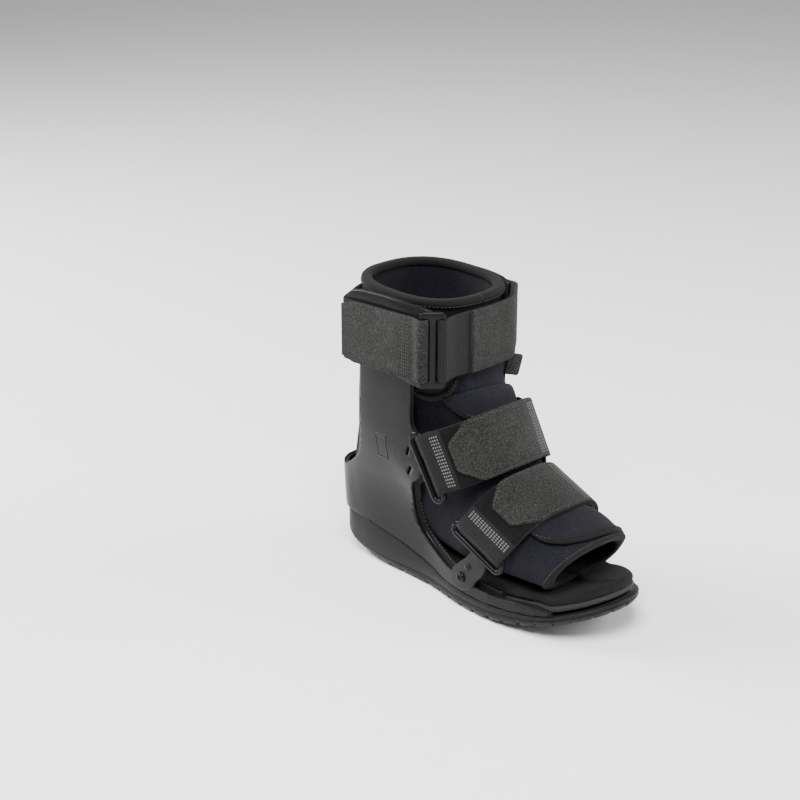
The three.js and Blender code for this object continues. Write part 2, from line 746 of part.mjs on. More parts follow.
function makeBuckle() {
  const frame = roundedBox(buckleWidth, buckleHeight, 3);
  [-1, 1].forEach((side) => {
    const slot = roundedBox(buckleSlotWidth, buckleHeight - 2 * buckleBorder, 1);
    const moved = slot.getPoints(3).map((p) => new THREE.Vector2(p.x + side * buckleSlotPlace, p.y));
    frame.holes.push(new THREE.Path(moved.reverse()));
  });
  const options = { depth: buckleDepth, bevelEnabled: false, curveSegments: 4 };
  const geometry = new THREE.ExtrudeGeometry(frame, options);
  geometry.translate(0, 0, -buckleDepth / 2);
  geometry.rotateX(Math.PI / 2);
  geometry.rotateZ(-0.8);
  geometry.translate(-56.75 * ankleShare, 7.25 * lengthShare, 212 * heightShare);
  return geometry;
}

function roundedBox(width, height, radius) {
  const shape = new THREE.Shape();
  const x = width / 2;
  const y = height / 2;
  shape.moveTo(-x + radius, -y);
  shape.lineTo(x - radius, -y);
  shape.quadraticCurveTo(x, -y, x, -y + radius);
  shape.lineTo(x, y - radius);
  shape.quadraticCurveTo(x, y, x - radius, y);
  shape.lineTo(-x + radius, y);
  shape.quadraticCurveTo(-x, y, -x, y - radius);
  shape.lineTo(-x, -y + radius);
  shape.quadraticCurveTo(-x, -y, -x + radius, -y);
  return shape;
}

// Plate that carries a front ring, outside the rail of the shell.
function makeBracket(sign) {
  const shape = new THREE.Shape([
    [-12, 22], [-14, 33], [-22, 42], [-31, 49.8], [-36, 55.5], [-40, 56.1], [-53, 49.7], [-51, 41.5],
    [-43, 33], [-37, 24], [-28, 19.5], [-18, 19.5],
  ].map(([y, z]) => new THREE.Vector2(y * lengthShare, z * heightShare)));
  const geometry = new THREE.ExtrudeGeometry(shape, { depth: bracketThickness, bevelEnabled: false });
  geometry.rotateY(Math.PI / 2);
  geometry.rotateX(Math.PI / 2);
  geometry.translate(-bracketThickness / 2, 0, 0);
  geometry.rotateZ(sign * railTurn);
  geometry.translate(sign * bracketMiddle, 0, 0);
  return geometry;
}

function makeRivet(sign) {
  const rim = rivetRadius;
  const profile = [[0, 0], [rim, 0], [rim, 0.28 * rim], [0.7 * rim, 0.52 * rim], [0, 0.57 * rim]]
    .map(([x, y]) => new THREE.Vector2(x, y));
  const back = 25 * lengthShare;
  const geometry = new THREE.LatheGeometry(profile, 16);
  geometry.rotateZ(-sign * (Math.PI / 2));
  geometry.rotateZ(sign * railTurn);
  const out = bracketMiddle + bracketThickness / 2 + back * railTurn + gap;
  geometry.translate(sign * out, -back, 30 * heightShare);
  return geometry;
}

function makeTab() {
  const geometry = new THREE.BoxGeometry(tabSide, strapThickness, tabSide);
  geometry.rotateY(0.3);
  geometry.rotateZ(-0.15);
  geometry.translate(38.8 * ankleShare, 6 * lengthShare, 177 * heightShare);
  return geometry;
}

// Assembly.

const finishes = {
  shell_plastic: { color: 0x3b3b3d, roughness: 0.48 },
  sole_rubber: { color: 0x343435, roughness: 0.7 },
  footbed_foam: { color: 0x26221f, roughness: 0.9 },
  liner_fabric: { color: 0x1d1b27, roughness: 0.95 },
  edge_tape: { color: 0x2b2727, roughness: 0.85 },
  strap_webbing: { color: 0x33322f, roughness: 0.85 },
  strap_pile: { color: 0x3b3a33, roughness: 1 },
  buckle_plastic: { color: 0x252526, roughness: 0.35 },
};

const group = new THREE.Group();
group.name = 'walking_boot';

function add(name, slot, geometry) {
  const { color, roughness } = finishes[slot];
  const material = new THREE.MeshStandardMaterial({ color, roughness, metalness: 0 });
  const mesh = new THREE.Mesh(geometry, material);
  mesh.name = name;
  group.add(mesh);
}

const degrees = Math.PI / 180;
const linerSpace = makeLinerSpace();
const linerEnd = linerTable.length - 1;
const middleHeight = (y) => (plateTop(y) + footbedTop(y)) / 2;

add('outsole', 'sole_rubber', makeOutsole());
add('shell', 'shell_plastic', makeShell(linerSpace));
add('footbed_base', 'footbed_foam', makeFootbed(0, (y) => plateTop(y) + 3 * gap, middleHeight));
add('footbed_top', 'footbed_foam', makeFootbed(0.8, (y) => middleHeight(y) + gap, footbedTop));
add('rim_trim_lateral', 'edge_tape', makeRimTrim(-1, linerSpace));
add('rim_trim_medial', 'edge_tape', makeRimTrim(1, linerSpace));
add('liner_foot', 'liner_fabric', makeLiner(0, linerSeamRow));
add('liner_leg', 'liner_fabric', makeLiner(linerSeamRow + linerSeamShare, linerEnd));
add('collar_binding', 'edge_tape', makeBinding(linerEnd, [0, 6.5]));
add('toe_binding', 'edge_tape', makeBinding(0, [-5.5, 1]));
add('toe_flap', 'liner_fabric', makeFlap(() => -46 * degrees, 74 * degrees,
  (share) => 0.05 + 0.85 * (1 - share) ** 3, () => 3.2, toeFlapLift, toeFlapThickness));
add('tongue_flap', 'liner_fabric', makeFlap(tongueStart, 70 * degrees,
  (share) => 5.2 + 0.3 * share, (share) => 9.7 - 0.8 * share, tongueLift, tongueThickness));
add('ankle_flap', 'liner_fabric', makeFlap(() => -66 * degrees, -28 * degrees,
  ankleHem, () => 10.45, ankleFlapLift, ankleFlapThickness));
add('wing_lateral', 'shell_plastic', makeWing(wingTable.lateral, -1));
add('wing_medial', 'shell_plastic', makeWing(wingTable.medial, 1));
add('upper_strap', 'strap_webbing', upright(upperStrapPath, upperStrapLow, upperStrapHigh, strapThickness, 3));
add('upper_strap_overlap_lateral', 'strap_pile',
  upright(lateralOverlapPath, upperStrapLow + 0.5, upperStrapHigh + 0.5, strapThickness, 3));
add('upper_strap_overlap_front', 'strap_pile',
  upright(frontOverlapPath, upperStrapLow, upperStrapHigh, strapThickness, 3));
add('upper_strap_tab', 'strap_pile', makeTab());
add('upper_buckle', 'buckle_plastic', makeBuckle());
add('mid_strap', 'strap_webbing', lowerStrap(midStrapPath, midStrapWidth, 0, 0));
add('mid_strap_overlap', 'strap_pile',
  lowerStrap(midStrapPath, midStrapWidth, strapThickness + 1.4 * gap, 0.16, overlapTip));
add('front_strap', 'strap_webbing', lowerStrap(frontStrapPath, frontStrapWidth, 0, 0));
add('front_strap_overlap', 'strap_pile',
  lowerStrap(frontStrapPath, frontStrapWidth, strapThickness + 1.4 * gap, 0.2, overlapTip));
Object.entries(ringTable).forEach(([name, row]) => {
  add(`ring_${name}`, 'buckle_plastic', makeRing(row));
});
add('bracket_lateral', 'shell_plastic', makeBracket(-1));
add('bracket_medial', 'shell_plastic', makeBracket(1));
add('rivet_lateral', 'buckle_plastic', makeRivet(-1));
add('rivet_medial', 'buckle_plastic', makeRivet(1));

export default group;
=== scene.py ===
"""Looks of a short walking boot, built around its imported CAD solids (metres, toe to -Y, Z up)."""

import json
import logging
import math
from dataclasses import dataclass
from enum import Enum
from typing import Callable, Sequence

import bmesh
import bpy
import numpy as np
from mathutils import Matrix, Vector
from mathutils.geometry import delaunay_2d_cdt

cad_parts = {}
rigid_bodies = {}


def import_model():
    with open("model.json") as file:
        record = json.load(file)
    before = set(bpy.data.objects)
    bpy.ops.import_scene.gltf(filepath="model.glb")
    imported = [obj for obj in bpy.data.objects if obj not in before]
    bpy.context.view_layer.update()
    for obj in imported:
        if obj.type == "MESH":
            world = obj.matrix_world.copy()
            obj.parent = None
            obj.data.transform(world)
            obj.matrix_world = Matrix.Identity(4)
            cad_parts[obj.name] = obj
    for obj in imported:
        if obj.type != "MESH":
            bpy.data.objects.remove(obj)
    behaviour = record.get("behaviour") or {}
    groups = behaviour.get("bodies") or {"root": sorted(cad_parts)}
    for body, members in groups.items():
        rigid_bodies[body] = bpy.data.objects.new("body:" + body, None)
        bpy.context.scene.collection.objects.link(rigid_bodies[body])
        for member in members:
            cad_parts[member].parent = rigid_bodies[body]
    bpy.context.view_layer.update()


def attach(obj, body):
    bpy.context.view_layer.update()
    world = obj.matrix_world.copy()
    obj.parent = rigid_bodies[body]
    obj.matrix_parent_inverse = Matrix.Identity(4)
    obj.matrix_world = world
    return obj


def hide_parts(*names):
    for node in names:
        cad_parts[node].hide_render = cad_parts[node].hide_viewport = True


LOG = logging.getLogger("boot")
MM = 0.001
Array = np.ndarray
Piece = bpy.types.Object
Finish = bpy.types.Material
Colour = tuple[float, float, float]

# Sizes and tables of the CAD source, in millimetres.
SOLE_FRONT, SOLE_BACK = -147.5, 142.5
BALL, HEEL, WAIST = 111.2, 78.2, 84.0
CUP_FLOOR, CUP_WALL = 22.0, 3.6
UPRIGHT_HALF, UPRIGHT_FRONT, SHELL_WALL, SHELL_GAP = 58.4, -16.0, 4.0, 0.6
STRAP, FOLD, RING_BAR, RING_WIDTH = 2.2, 2.7, 2.4, 15.0
BRACKET_X, BRACKET_THICK, BRACKET_LEAN = 51.1, 3.4, 0.12
OUTLINE = np.array([
    (0, 142.5), (0.5 * HEEL / 2, 137.8), (0.86 * HEEL / 2, 124.9), (HEEL / 2, 103.4), (WAIST / 2, 27.5),
    (0.93 * BALL / 2, -17.5), (BALL / 2, -62.5), (0.86 * BALL / 2, -109.5), (0.58 * BALL / 2, -133.5),
    (0.28 * BALL / 2, -144.5), (0, -147.5)])
HEIGHTS = np.array([
    (-147.5, 34.5, 46), (-130, 28, 40.5), (-110, 21.5, 35.2), (-90, 17.8, 31.2), (-60, 15, 28.6),
    (-20, 14, 28.2), (5, 15, 29), (24, 20, 30), (60, 29, 31), (95, 36, 32), (150, 39, 32)])
SHELL_ROWS = np.array([
    (4, 0, 142.5), (26, 0, 144.5), (40, 0.02, 147.4), (52, 0.06, 148.1), (66, 0.16, 147.6),
    (80, 0.34, 145), (96, 0.6, 139), (115, 0.84, 132), (140, 1, 128), (206, 1, 128)])
SHELL_EDGE = np.array([
    (147.5, 78), (135, 79), (122, 82), (111, 89), (101, 98), (96, 108), (92.5, 121), (90.5, 140),
    (89.5, 160), (88.5, 178), (88, 196), (86.8, 199), (84, 200), (38, 200), (33.5, 199), (31, 196),
    (30, 180), (30, 146), (27, 140), (20.5, 132), (16.5, 122), (16.5, 110), (22, 101), (30, 94),
    (34, 85), (36.5, 75), (37.5, 65), (35, 55), (29.5, 46.5), (20, 39.5), (8.5, 34), (-3, 30),
    (-17, 27.6), (-36, 26.2), (-50, 25), (-65, 25), (-80, 26.5), (-92, 27), (-103, 25.5),
    (-110, 23.5), (-113.5, 19)])
LINER = np.array([
    (-114, 71.5, -91, 32.2, 42, 45), (-93, 79, -82, 30.8, 43, 46), (-70, 87, -66, 29.6, 43, 46),
    (-50, 93, -45, 29, 42, 45), (-36, 100, -18, 28.9, 41, 42), (-29, 110, 15, 30, 41, 38),
    (-24, 121, 60, 31.8, 43, 35.5), (-19.5, 134, 104, 32.8, 46, 34), (-14, 148, 134, 43, 49, 34.5),
    (-5.5, 164, 139, 68, 51, 36), (2.5, 180, 129, 105, 51.5, 42), (6.5, 198, 120, 145, 52, 47),
    (8.5, 216, 117, 185, 52, 50), (9, 229, 117, 220, 52, 51), (7, 238.5, 115.5, 245, 51.5, 50.5)])
LINER_WALL = 6.0
TONGUE_EDGE = np.array([(5.2, -8), (6.2, -3), (7.4, -10), (8.2, -22), (8.65, -31), (9.4, -40), (9.7, -42)])
BINDING = [
    (0.7, 0.02), (1.3, 0.2), (1.4, 0.5), (1.0, 0.75), (0.1, 0.93), (-1.2, 1.0), (-3, 1.03), (-4.8, 1.0),
    (-6.1, 0.93), (-7.0, 0.75), (-7.3, 0.5), (-7.1, 0.2), (-6.5, 0.02)]
WING_LATERAL = np.array([
    (60.4, 96.5, 204, 238), (60.4, 93, 199, 243.5), (60.4, 84, 193, 246.5), (60.3, 60, 188, 247.5),
    (60.2, 40, 184, 247), (58.9, 24, 180, 245.5), (56.9, 15, 179, 244.5), (53.9, 10.5, 184, 243)])
WING_MEDIAL = np.array([
    (60.4, 96.5, 204, 236), (60.4, 93, 199, 241), (60.4, 84, 193, 243.5), (60.3, 66, 188, 244),
    (60.2, 50, 186, 243), (59.8, 38, 184, 241), (59.3, 32, 188, 238)])
UPPER_PATH = np.array([
    (-62.8, 19), (-63.6, 36), (-64.1, 60), (-64.2, 80), (-64.2, 96), (-62, 99), (-44, 108.4),
    (-26, 116.6), (0, 119.6), (26, 116.6), (44, 108.4), (62, 99), (64.2, 96), (64.1, 80),
    (63.9, 62), (63.7, 44), (62.6, 30), (58.6, 26.3), (46, 16.3), (33, 6.4), (26, 3.6), (0, 1.6),
    (-30, 2.2), (-45, 3.4)])
BUCKLE_MIDDLE, BUCKLE_HEIGHT, BUCKLE_TURN = np.array([-56.75, 7.25]), 212, 0.8
LATERAL_OVERLAP = np.array([(-65.4, 20), (-66.2, 36), (-66.7, 60), (-66.9, 80), (-67, 96.5)])
FRONT_OVERLAP = np.array([
    (67, 96.5), (66.9, 80), (66.5, 62), (66.3, 43.6), (64.9, 28.4), (60.2, 24.1), (47.6, 14.2),
    (34.2, 4), (26.4, 1.05), (14, 0), (0, -1.1), (-12, -0.95), (-20, -0.75)])
UPPER_LOW, UPPER_HIGH = 187.0, 237.5
MID_PATH = np.array([
    (-57.9, 2.6, 120.4, 0.52, 0.854), (-51, -7, 124.5, 0.5, 0.866), (-38, -16, 129, 0.46, 0.888),
    (-20, -23.2, 133.5, 0.42, 0.908), (0, -26, 135, 0.41, 0.912), (20, -24.2, 134, 0.42, 0.908),
    (38, -17.5, 129.5, 0.45, 0.893), (51, -9.5, 123, 0.46, 0.888), (57.9, -1.6, 118.1, 0.5, 0.866)])
FRONT_PATH = np.array([
    (-55.6, -48.3, 72, 0.896, 0.444), (-49, -53, 81.4, 0.9, 0.436), (-36, -57.5, 91.6, 0.91, 0.414),
    (-18, -61, 97, 0.92, 0.392), (0, -62.5, 98.2, 0.92, 0.392), (18, -61, 97, 0.92, 0.392),
    (36, -57.5, 91.6, 0.91, 0.414), (49, -53, 81.4, 0.9, 0.436), (55.6, -48.3, 72, 0.896, 0.444)])
RINGS = {
    "ring_mid_lateral": (-59.6, 24.5, 141.5, -7.5, 89),
    "ring_mid_medial": (59.6, 20.5, 140.5, -10.5, 86.5),
    "ring_front_lateral": (-57.4, -17.5, 75.5, -70, 50), "ring_front_medial": (57.4, -17.5, 75.5, -70, 50)}
BRACKET = np.array([
    (-12, 22), (-14, 33), (-22, 42), (-31, 49.8), (-36, 55.5), (-40, 56.1), (-53, 49.7), (-51, 41.5),
    (-43, 33), (-37, 24), (-28, 19.5), (-18, 19.5)])
RIVET = [(0.9, 0.1), (1.0, 1.0), (1.9, 1.9), (2.7, 2.2), (3.6, 1.9), (4.2, 1.0), (4.3, 0.0)]
DOME = [(3.4, 0), (3.2, 0.8), (2.4, 1.6), (1.2, 2.0), (0.1, 2.1)]

UPRIGHT_TURN = Matrix.Rotation(math.pi / 2, 4, "Z") @ Matrix.Rotation(math.pi / 2, 4, "X")
FACING = Matrix.Rotation(math.pi / 2, 4, "X")

# Stitches: length, width and height.
SEAM, TAPE_SEAM, EDGE_SEAM = (2.2, 0.5, 0.5), (2.1, 0.45, 0.4), (2.0, 0.45, 0.4)
CROSS_SEAM, BAR_SEAM = (2.0, 0.6, 0.5), (2.0, 0.8, 0.5)
RIM_SEAM, PALE_DOT = (1.5, 0.7, 0.4), (1.7, 1.3, 0.4)
FABRIC_THREAD, PILE_THREAD = 2600.0, 1500.0
TAPE_PITCH, CROSS_PITCH = 3.2, 2.6
UP = np.array([0.0, 0.0, 1.0])
CLOTH_FRAMES = 14


class Slot(Enum):
    """Material slots of the record."""

    SHELL = "shell_plastic"
    RUBBER = "sole_rubber"
    FOAM = "footbed_foam"
    FABRIC = "liner_fabric"
    TAPE = "edge_tape"
    WEBBING = "strap_webbing"
    PILE = "strap_pile"
    BUCKLE = "buckle_plastic"


# Curves and surfaces.


def centripetal(points: Array, steps: int) -> Array:
    """Catmull-Rom curve with centripetal knots.

    Args:
        points: Control points, one a row.
        steps: Samples from one control point to the next.

    Returns:
        Points of the curve, both ends included.
    """
    p = np.vstack([2 * points[0] - points[1], points, 2 * points[-1] - points[-2]]).astype(float)
    out = []
    for i in range(1, len(p) - 2):
        d = [max(np.linalg.norm(p[k + 1] - p[k]) ** 0.5, 1e-6) for k in (i - 1, i, i + 1)]
        before, here, after = (p[k + 1] - p[k] for k in (i - 1, i, i + 1))
        m1 = (before / d[0] - (before + here) / (d[0] + d[1]) + here / d[1]) * d[1]
        m2 = (here / d[1] - (here + after) / (d[1] + d[2]) + after / d[2]) * d[1]
        t = (np.arange(steps) / steps)[:, None]
        out.append((2 * t**3 - 3 * t**2 + 1) * p[i] + (t**3 - 2 * t**2 + t) * m1
                   + (3 * t**2 - 2 * t**3) * p[i + 1] + (t**3 - t**2) * m2)
    return np.vstack(out + [points[-1:].astype(float)])


def unit(v: Array) -> Array:
    """Vectors of length one along the last axis."""
    return v / np.maximum(np.linalg.norm(v, axis=-1, keepdims=True), 1e-9)


def arc_length(line: Array) -> Array:
    """Distance along a line of points, from 0 at its start."""
    return np.concatenate([[0], np.cumsum(np.linalg.norm(np.diff(line, axis=0), axis=1))])


def sole_half(back: float, steps: int = 26) -> Array:
    """Right half of the sole's outline.

    Args:
        back: Place of the rearmost point along the boot.
        steps: Samples from one point of the outline to the next.

    Returns:
        Points from the back to the toe, x and y.
    """
    rows = OUTLINE.copy()
    far = rows[:, 1] > 60
    rows[far, 1] += (back - SOLE_BACK) * (rows[far, 1] - 60) / (SOLE_BACK - 60)
    full = np.vstack([rows[1] * (-1, 1), rows, rows[-2] * (-1, 1)])
    half = centripetal(full, steps)[steps:-steps]
    half[:, 0] = np.maximum(half[:, 0], 0)
    return half


def full_ring(half: Array) -> Array:
    """Closed outline made from its right half."""
    return np.vstack([half, half[-2:0:-1] * (-1, 1)])


def inset_ring(ring: Array, amount: Array | float) -> Array:
    """Ring moved inwards by an amount that may change along it."""
    d = unit(np.roll(ring, -1, 0) - np.roll(ring, 1, 0))
    return ring + np.stack([d[:, 1], -d[:, 0]], 1) * np.reshape(amount, (-1, 1))


def rubber_top(y: Array) -> Array:
    """Height of the rubber's upper edge."""
    return np.interp(y, HEIGHTS[:, 0], HEIGHTS[:, 1])


def footbed_top(y: Array) -> Array:
    """Height of the footbed's upper face."""
    return np.interp(y, HEIGHTS[:, 0], HEIGHTS[:, 2])


def sole_bottom(y: Array) -> Array:
    """Height of the rocker's lower face.

    Args:
        y: Places along the boot.

    Returns:
        Heights above the floor, in millimetres.
    """
    toe = np.maximum((-20 - y) / 127.5, 0)
    heel = np.maximum((y - 66) / 76.5, 0)
    return 26 * toe**2 + 13 * heel**2


def liner_point(at: Array, angle: Array, grow: Array | float) -> Array:
    """Points of the liner's outer face.

    Args:
        at: Row number along the liner, from the toe opening to the collar.
        angle: Angle round the liner, 0 on top and +90 degrees on the +X side.
        grow: Distance outwards from the face.

    Returns:
        Points in millimetres, with one more axis than the inputs.
    """
    at, angle = np.broadcast_arrays(np.asarray(at, float), np.asarray(angle, float))
    last = len(LINER) - 1
    i = np.clip(np.floor(at).astype(int), 0, last - 1)
    t = (at - i)[..., None]
    a, b, c, d = (LINER[np.clip(i + k, 0, last)] for k in (-1, 0, 1, 2))
    row = 0.5 * (2 * b + (c - a) * t + (2 * a - 5 * b + 4 * c - d) * t**2 + (3 * b - a - 3 * c + d) * t**3)
    dorsal, plantar = row[..., 0:2], row[..., 2:4]
    axis = dorsal - plantar
    length = np.linalg.norm(axis, axis=-1) / 2 + grow
    up = np.sign(np.cos(angle)) * np.abs(np.cos(angle)) ** 0.8
    across = np.sign(np.sin(angle)) * np.abs(np.sin(angle)) ** 0.8
    half = row[..., 5] + (row[..., 4] - row[..., 5]) * (1 + up) / 2 + grow
    mid = (dorsal + plantar) / 2 + unit(axis) * (up * length)[..., None]
    return np.concatenate([(across * half)[..., None], mid], -1)


# Meshes.


def link_object(name: str, data: bpy.types.ID) -> Piece:
    """Makes an object and links it to the scene.

    Args:
        name: Name of the object.
        data: Its mesh, curve, light or camera.

    Returns:
        The new object.
    """
    obj = bpy.data.objects.new(name, data)
    bpy.context.scene.collection.objects.link(obj)
    return obj


def plain_mesh(temp: Piece) -> bpy.types.Mesh:
    """Turns an object, as it is evaluated, into a mesh, and removes the object.

    Args:
        temp: Object with its modifiers or its curve.

    Returns:
        The mesh.
    """
    bpy.context.view_layer.update()
    mesh = bpy.data.meshes.new_from_object(temp.evaluated_get(bpy.context.evaluated_depsgraph_get()))
    bpy.data.objects.remove(temp)
    return mesh


def mesh_object(name: str, points: Array, faces: Sequence[Sequence[int]],
                uv: Array | None = None) -> Piece:
    """Smooth mesh object from points in millimetres.

    Args:
        name: Name of the object.
        points: Points, one a row.
        faces: Corner numbers of each face.
        uv: Optional flat coordinates of each point, in metres.

    Returns:
        The new object, linked to the scene.
    """
    mesh = bpy.data.meshes.new(name)
    mesh.from_pydata((np.asarray(points) * MM).tolist(), [], [list(f) for f in faces])
    if uv is not None:
        layer = mesh.uv_layers.new(name="UVMap")
        index = np.zeros(len(mesh.loops), int)
        mesh.loops.foreach_get("vertex_index", index)
        layer.data.foreach_set("uv", np.asarray(uv, float)[index].ravel())
    bm = bmesh.new()
    bm.from_mesh(mesh)
    bmesh.ops.recalc_face_normals(bm, faces=bm.faces)
    bm.to_mesh(mesh)
    bm.free()
    mesh.polygons.foreach_set("use_smooth", [True] * len(mesh.polygons))
    mesh.update()
    return link_object(name, mesh)


def grid_faces(rows: int, cols: int, closed: bool) -> list[tuple[int, ...]]:
    """Quads between rings of points.

    Args:
        rows: Number of rings.
        cols: Points in a ring.
        closed: Whether the last ring joins the first.

    Returns:
        Corner numbers of each quad.
    """
    out = []
    for r in range(rows if closed else rows - 1):
        for c in range(cols):
            a, b = r * cols + c, r * cols + (c + 1) % cols
            e, f = ((r + 1) % rows) * cols + c, ((r + 1) % rows) * cols + (c + 1) % cols
            out.append((a, b, f, e))
    return out


def loft(name: str, rings: Array, closed: bool = False, uv: Array | None = None) -> Piece:
    """Tube through rings of equal length.

    Args:
        name: Name of the object.
        rings: Points by ring, place in the ring, and axis.
        closed: Whether the tube closes into a loop, and has no caps.
        uv: Optional flat coordinates of each point, in metres.

    Returns:
        The tube.
    """
    rows, cols = rings.shape[:2]
    points = rings.reshape(-1, 3)
    faces = grid_faces(rows, cols, closed)
    if not closed:
        faces += [tuple(range(cols)), tuple(range((rows - 1) * cols, rows * cols))]
    return mesh_object(name, points, faces, uv)


def rounded_section(half: float, thick: float) -> Array:
    """Section of a flat band with round edges.

    Args:
        half: Half of its width.
        thick: Its thickness.

    Returns:
        Closed outline, as places across and out.
    """
    angle, flat = np.linspace(-math.pi / 2, math.pi / 2, 5), np.linspace(-1, 1, 9)
    r = thick / 2
    inset = r / 2
    right = np.stack([half - inset + inset * np.cos(angle), r * np.sin(angle)], 1)
    top = np.stack([-flat * (half - inset), np.full(9, r)], 1)[1:-1]
    return np.vstack([right, top, right * (-1, -1), -top])


def sweep_band(name: str, centres: Array, widths: Array, halves: Array | float,
               thick: float) -> Piece:
    """Band of cloth through centre points.

    Args:
        name: Name of the object.
        centres: Middle line in millimetres.
        widths: Direction across the band, at each point or for all.
        halves: Half width, at each point or for all.
        thick: Thickness of the band.

    Returns:
        The band, with flat coordinates along and across it in metres.
    """
    widths = np.broadcast_to(unit(widths), centres.shape)
    halves = np.broadcast_to(halves, len(centres))
    normal = unit(np.cross(unit(np.gradient(centres, axis=0)), widths))
    rings, uv = [], []
    for c, w, n, h, s in zip(centres, widths, normal, halves, arc_length(centres)):
        section = rounded_section(h, thick)
        rings.append(c + section[:, :1] * w + section[:, 1:] * n)
        uv.append(np.stack([np.full(len(section), s), section[:, 0]], 1) * MM)
    return loft(name, np.array(rings), False, np.vstack(uv))


def tube(name: str, path: Array, radius: float, sides: int = 16) -> Piece:
    """Closed round bar along a flat loop.

    Args:
        name: Name of the object.
        path: Points of the loop.
        radius: Radius of the bar.
        sides: Points round the bar.

    Returns:
        The bar.
    """
    tangent = unit(np.roll(path, -1, 0) - np.roll(path, 1, 0))
    normal = unit(np.cross(path[len(path) // 3] - path[0], path[2 * len(path) // 3] - path[0]))
    out = unit(np.cross(tangent, normal))
    angle = np.linspace(0, 2 * math.pi, sides, endpoint=False)[:, None]
    rings = [p + radius * (np.cos(angle) * o + np.sin(angle) * normal) for p, o in zip(path, out)]
    return loft(name, np.array(rings), True)


def lathe(name: str, profile: Sequence[tuple[float, float]], sign: int, foot: Sequence[float]) -> Piece:
    """Small round part that points along X.

    Args:
        name: Name of the object.
        profile: Radius and height of each ring.
        sign: -1 to point to -X, 1 to point to +X.
        foot: Middle of its foot.

    Returns:
        The turned part.
    """
    angle = np.linspace(0, 2 * math.pi, 28, endpoint=False)
    rings = [np.column_stack([np.full(28, h), r * np.cos(angle), r * np.sin(angle)]) for r, h in profile]
    return loft(name, np.array(rings) * (sign, 1, 1) + foot)


def extruded(name: str, outline: Array, holes: Sequence[Array], depth: float, bevel: float,
             matrix: Matrix) -> Piece:
    """Plate with holes and rounded edges, made through a filled curve.

    Args:
        name: Name of the object.
        outline: Outer loop in the plate's own plane, in millimetres.
        holes: Inner loops.
        depth: Thickness of the plate.
        bevel: Radius of its edges.
        matrix: Turn and place of the plate, in millimetres.

    Returns:
        The plate as a mesh.
    """
    curve = bpy.data.curves.new(name, "CURVE")
    curve.dimensions, curve.fill_mode = "2D", "BOTH"
    curve.extrude, curve.bevel_depth, curve.bevel_resolution = depth / 2 - bevel, bevel, 3
    curve.offset = -bevel
    for loop in [outline, *holes]:
        spline = curve.splines.new("POLY")
        spline.points.add(len(loop) - 1)
        spline.points.foreach_set("co", np.hstack([loop, np.tile((0.0, 1.0), (len(loop), 1))]).ravel())
        spline.use_cyclic_u = True
    mesh = plain_mesh(link_object(name + "_curve", curve))
    mesh.transform(Matrix.Scale(MM, 4) @ matrix)
    mesh.name = name
    bm = bmesh.new()
    bm.from_mesh(mesh)
    bmesh.ops.remove_doubles(bm, verts=bm.verts, dist=1e-6)
    bmesh.ops.recalc_face_normals(bm, faces=bm.faces)
    bm.to_mesh(mesh)
    bm.free()
    mesh.materials.clear()
    mesh.set_sharp_from_angle(angle=0.6)
    return link_object(name, mesh)


def smooth_loop(points: Array, steps: int = 6) -> Array:
    """Closed loop rounded through its points.

    Args:
        points: Corners of the loop.
        steps: Samples from one corner to the next.

    Returns:
        Points of the loop.
    """
    n = len(points)
    wide = np.vstack([points[-3:], points, points[:3]])
    return centripetal(wide, steps)[3 * steps:(3 + n) * steps]


def rounded_rectangle(width: float, height: float, radius: float, steps: int = 5) -> Array:
    """Closed loop with quarter-circle corners.

    Args:
        width: Size along the first axis.
        height: Size along the second axis.
        radius: Radius of the corners.
        steps: Points on each corner.

    Returns:
        Points of the loop, round the origin.
    """
    out = []
    for k, (sx, sy) in enumerate(((1, -1), (1, 1), (-1, 1), (-1, -1))):
        angle = np.linspace(-math.pi / 2, 0, steps) + k * math.pi / 2
        centre = np.array([sx * (width / 2 - radius), sy * (height / 2 - radius)])
        out.append(centre + radius * np.stack([np.cos(angle), np.sin(angle)], 1))
    return np.vstack(out)


# Shader maths.


@dataclass(frozen=True)
class Sock:
    """Node socket with arithmetic."""

    shader: "Shader"
    out: bpy.types.NodeSocket

    def _math(self, operation: str, *others: "Sock | float") -> "Sock":
        """Adds a Math node on this value and others."""
        return self.shader.node("ShaderNodeMath", 0, dict(enumerate((self, *others))), operation=operation)

    def __add__(self, other: "Sock | float") -> "Sock":
        """Sum of both values."""
        return self._math("ADD", other)

    def __sub__(self, other: "Sock | float") -> "Sock":
        """This value less the other."""
        return self._math("SUBTRACT", other)

    def __mul__(self, other: "Sock | float") -> "Sock":
        """Product of both values."""
        return self._math("MULTIPLY", other)

    def __rsub__(self, other: float) -> "Sock":
        """A number less this value."""
        return (self * -1.0) + other

    __radd__ = __add__
    __rmul__ = __mul__

    def sine(self) -> "Sock":
        """Sine of the value."""
        return self._math("SINE")

    def clamp(self, low: float, high: float) -> "Sock":
        """Value mapped so that low gives 0 and high gives 1, held between them."""
        return self.shader.node("ShaderNodeMapRange", 0, {"Value": self, "From Min": low, "From Max": high})


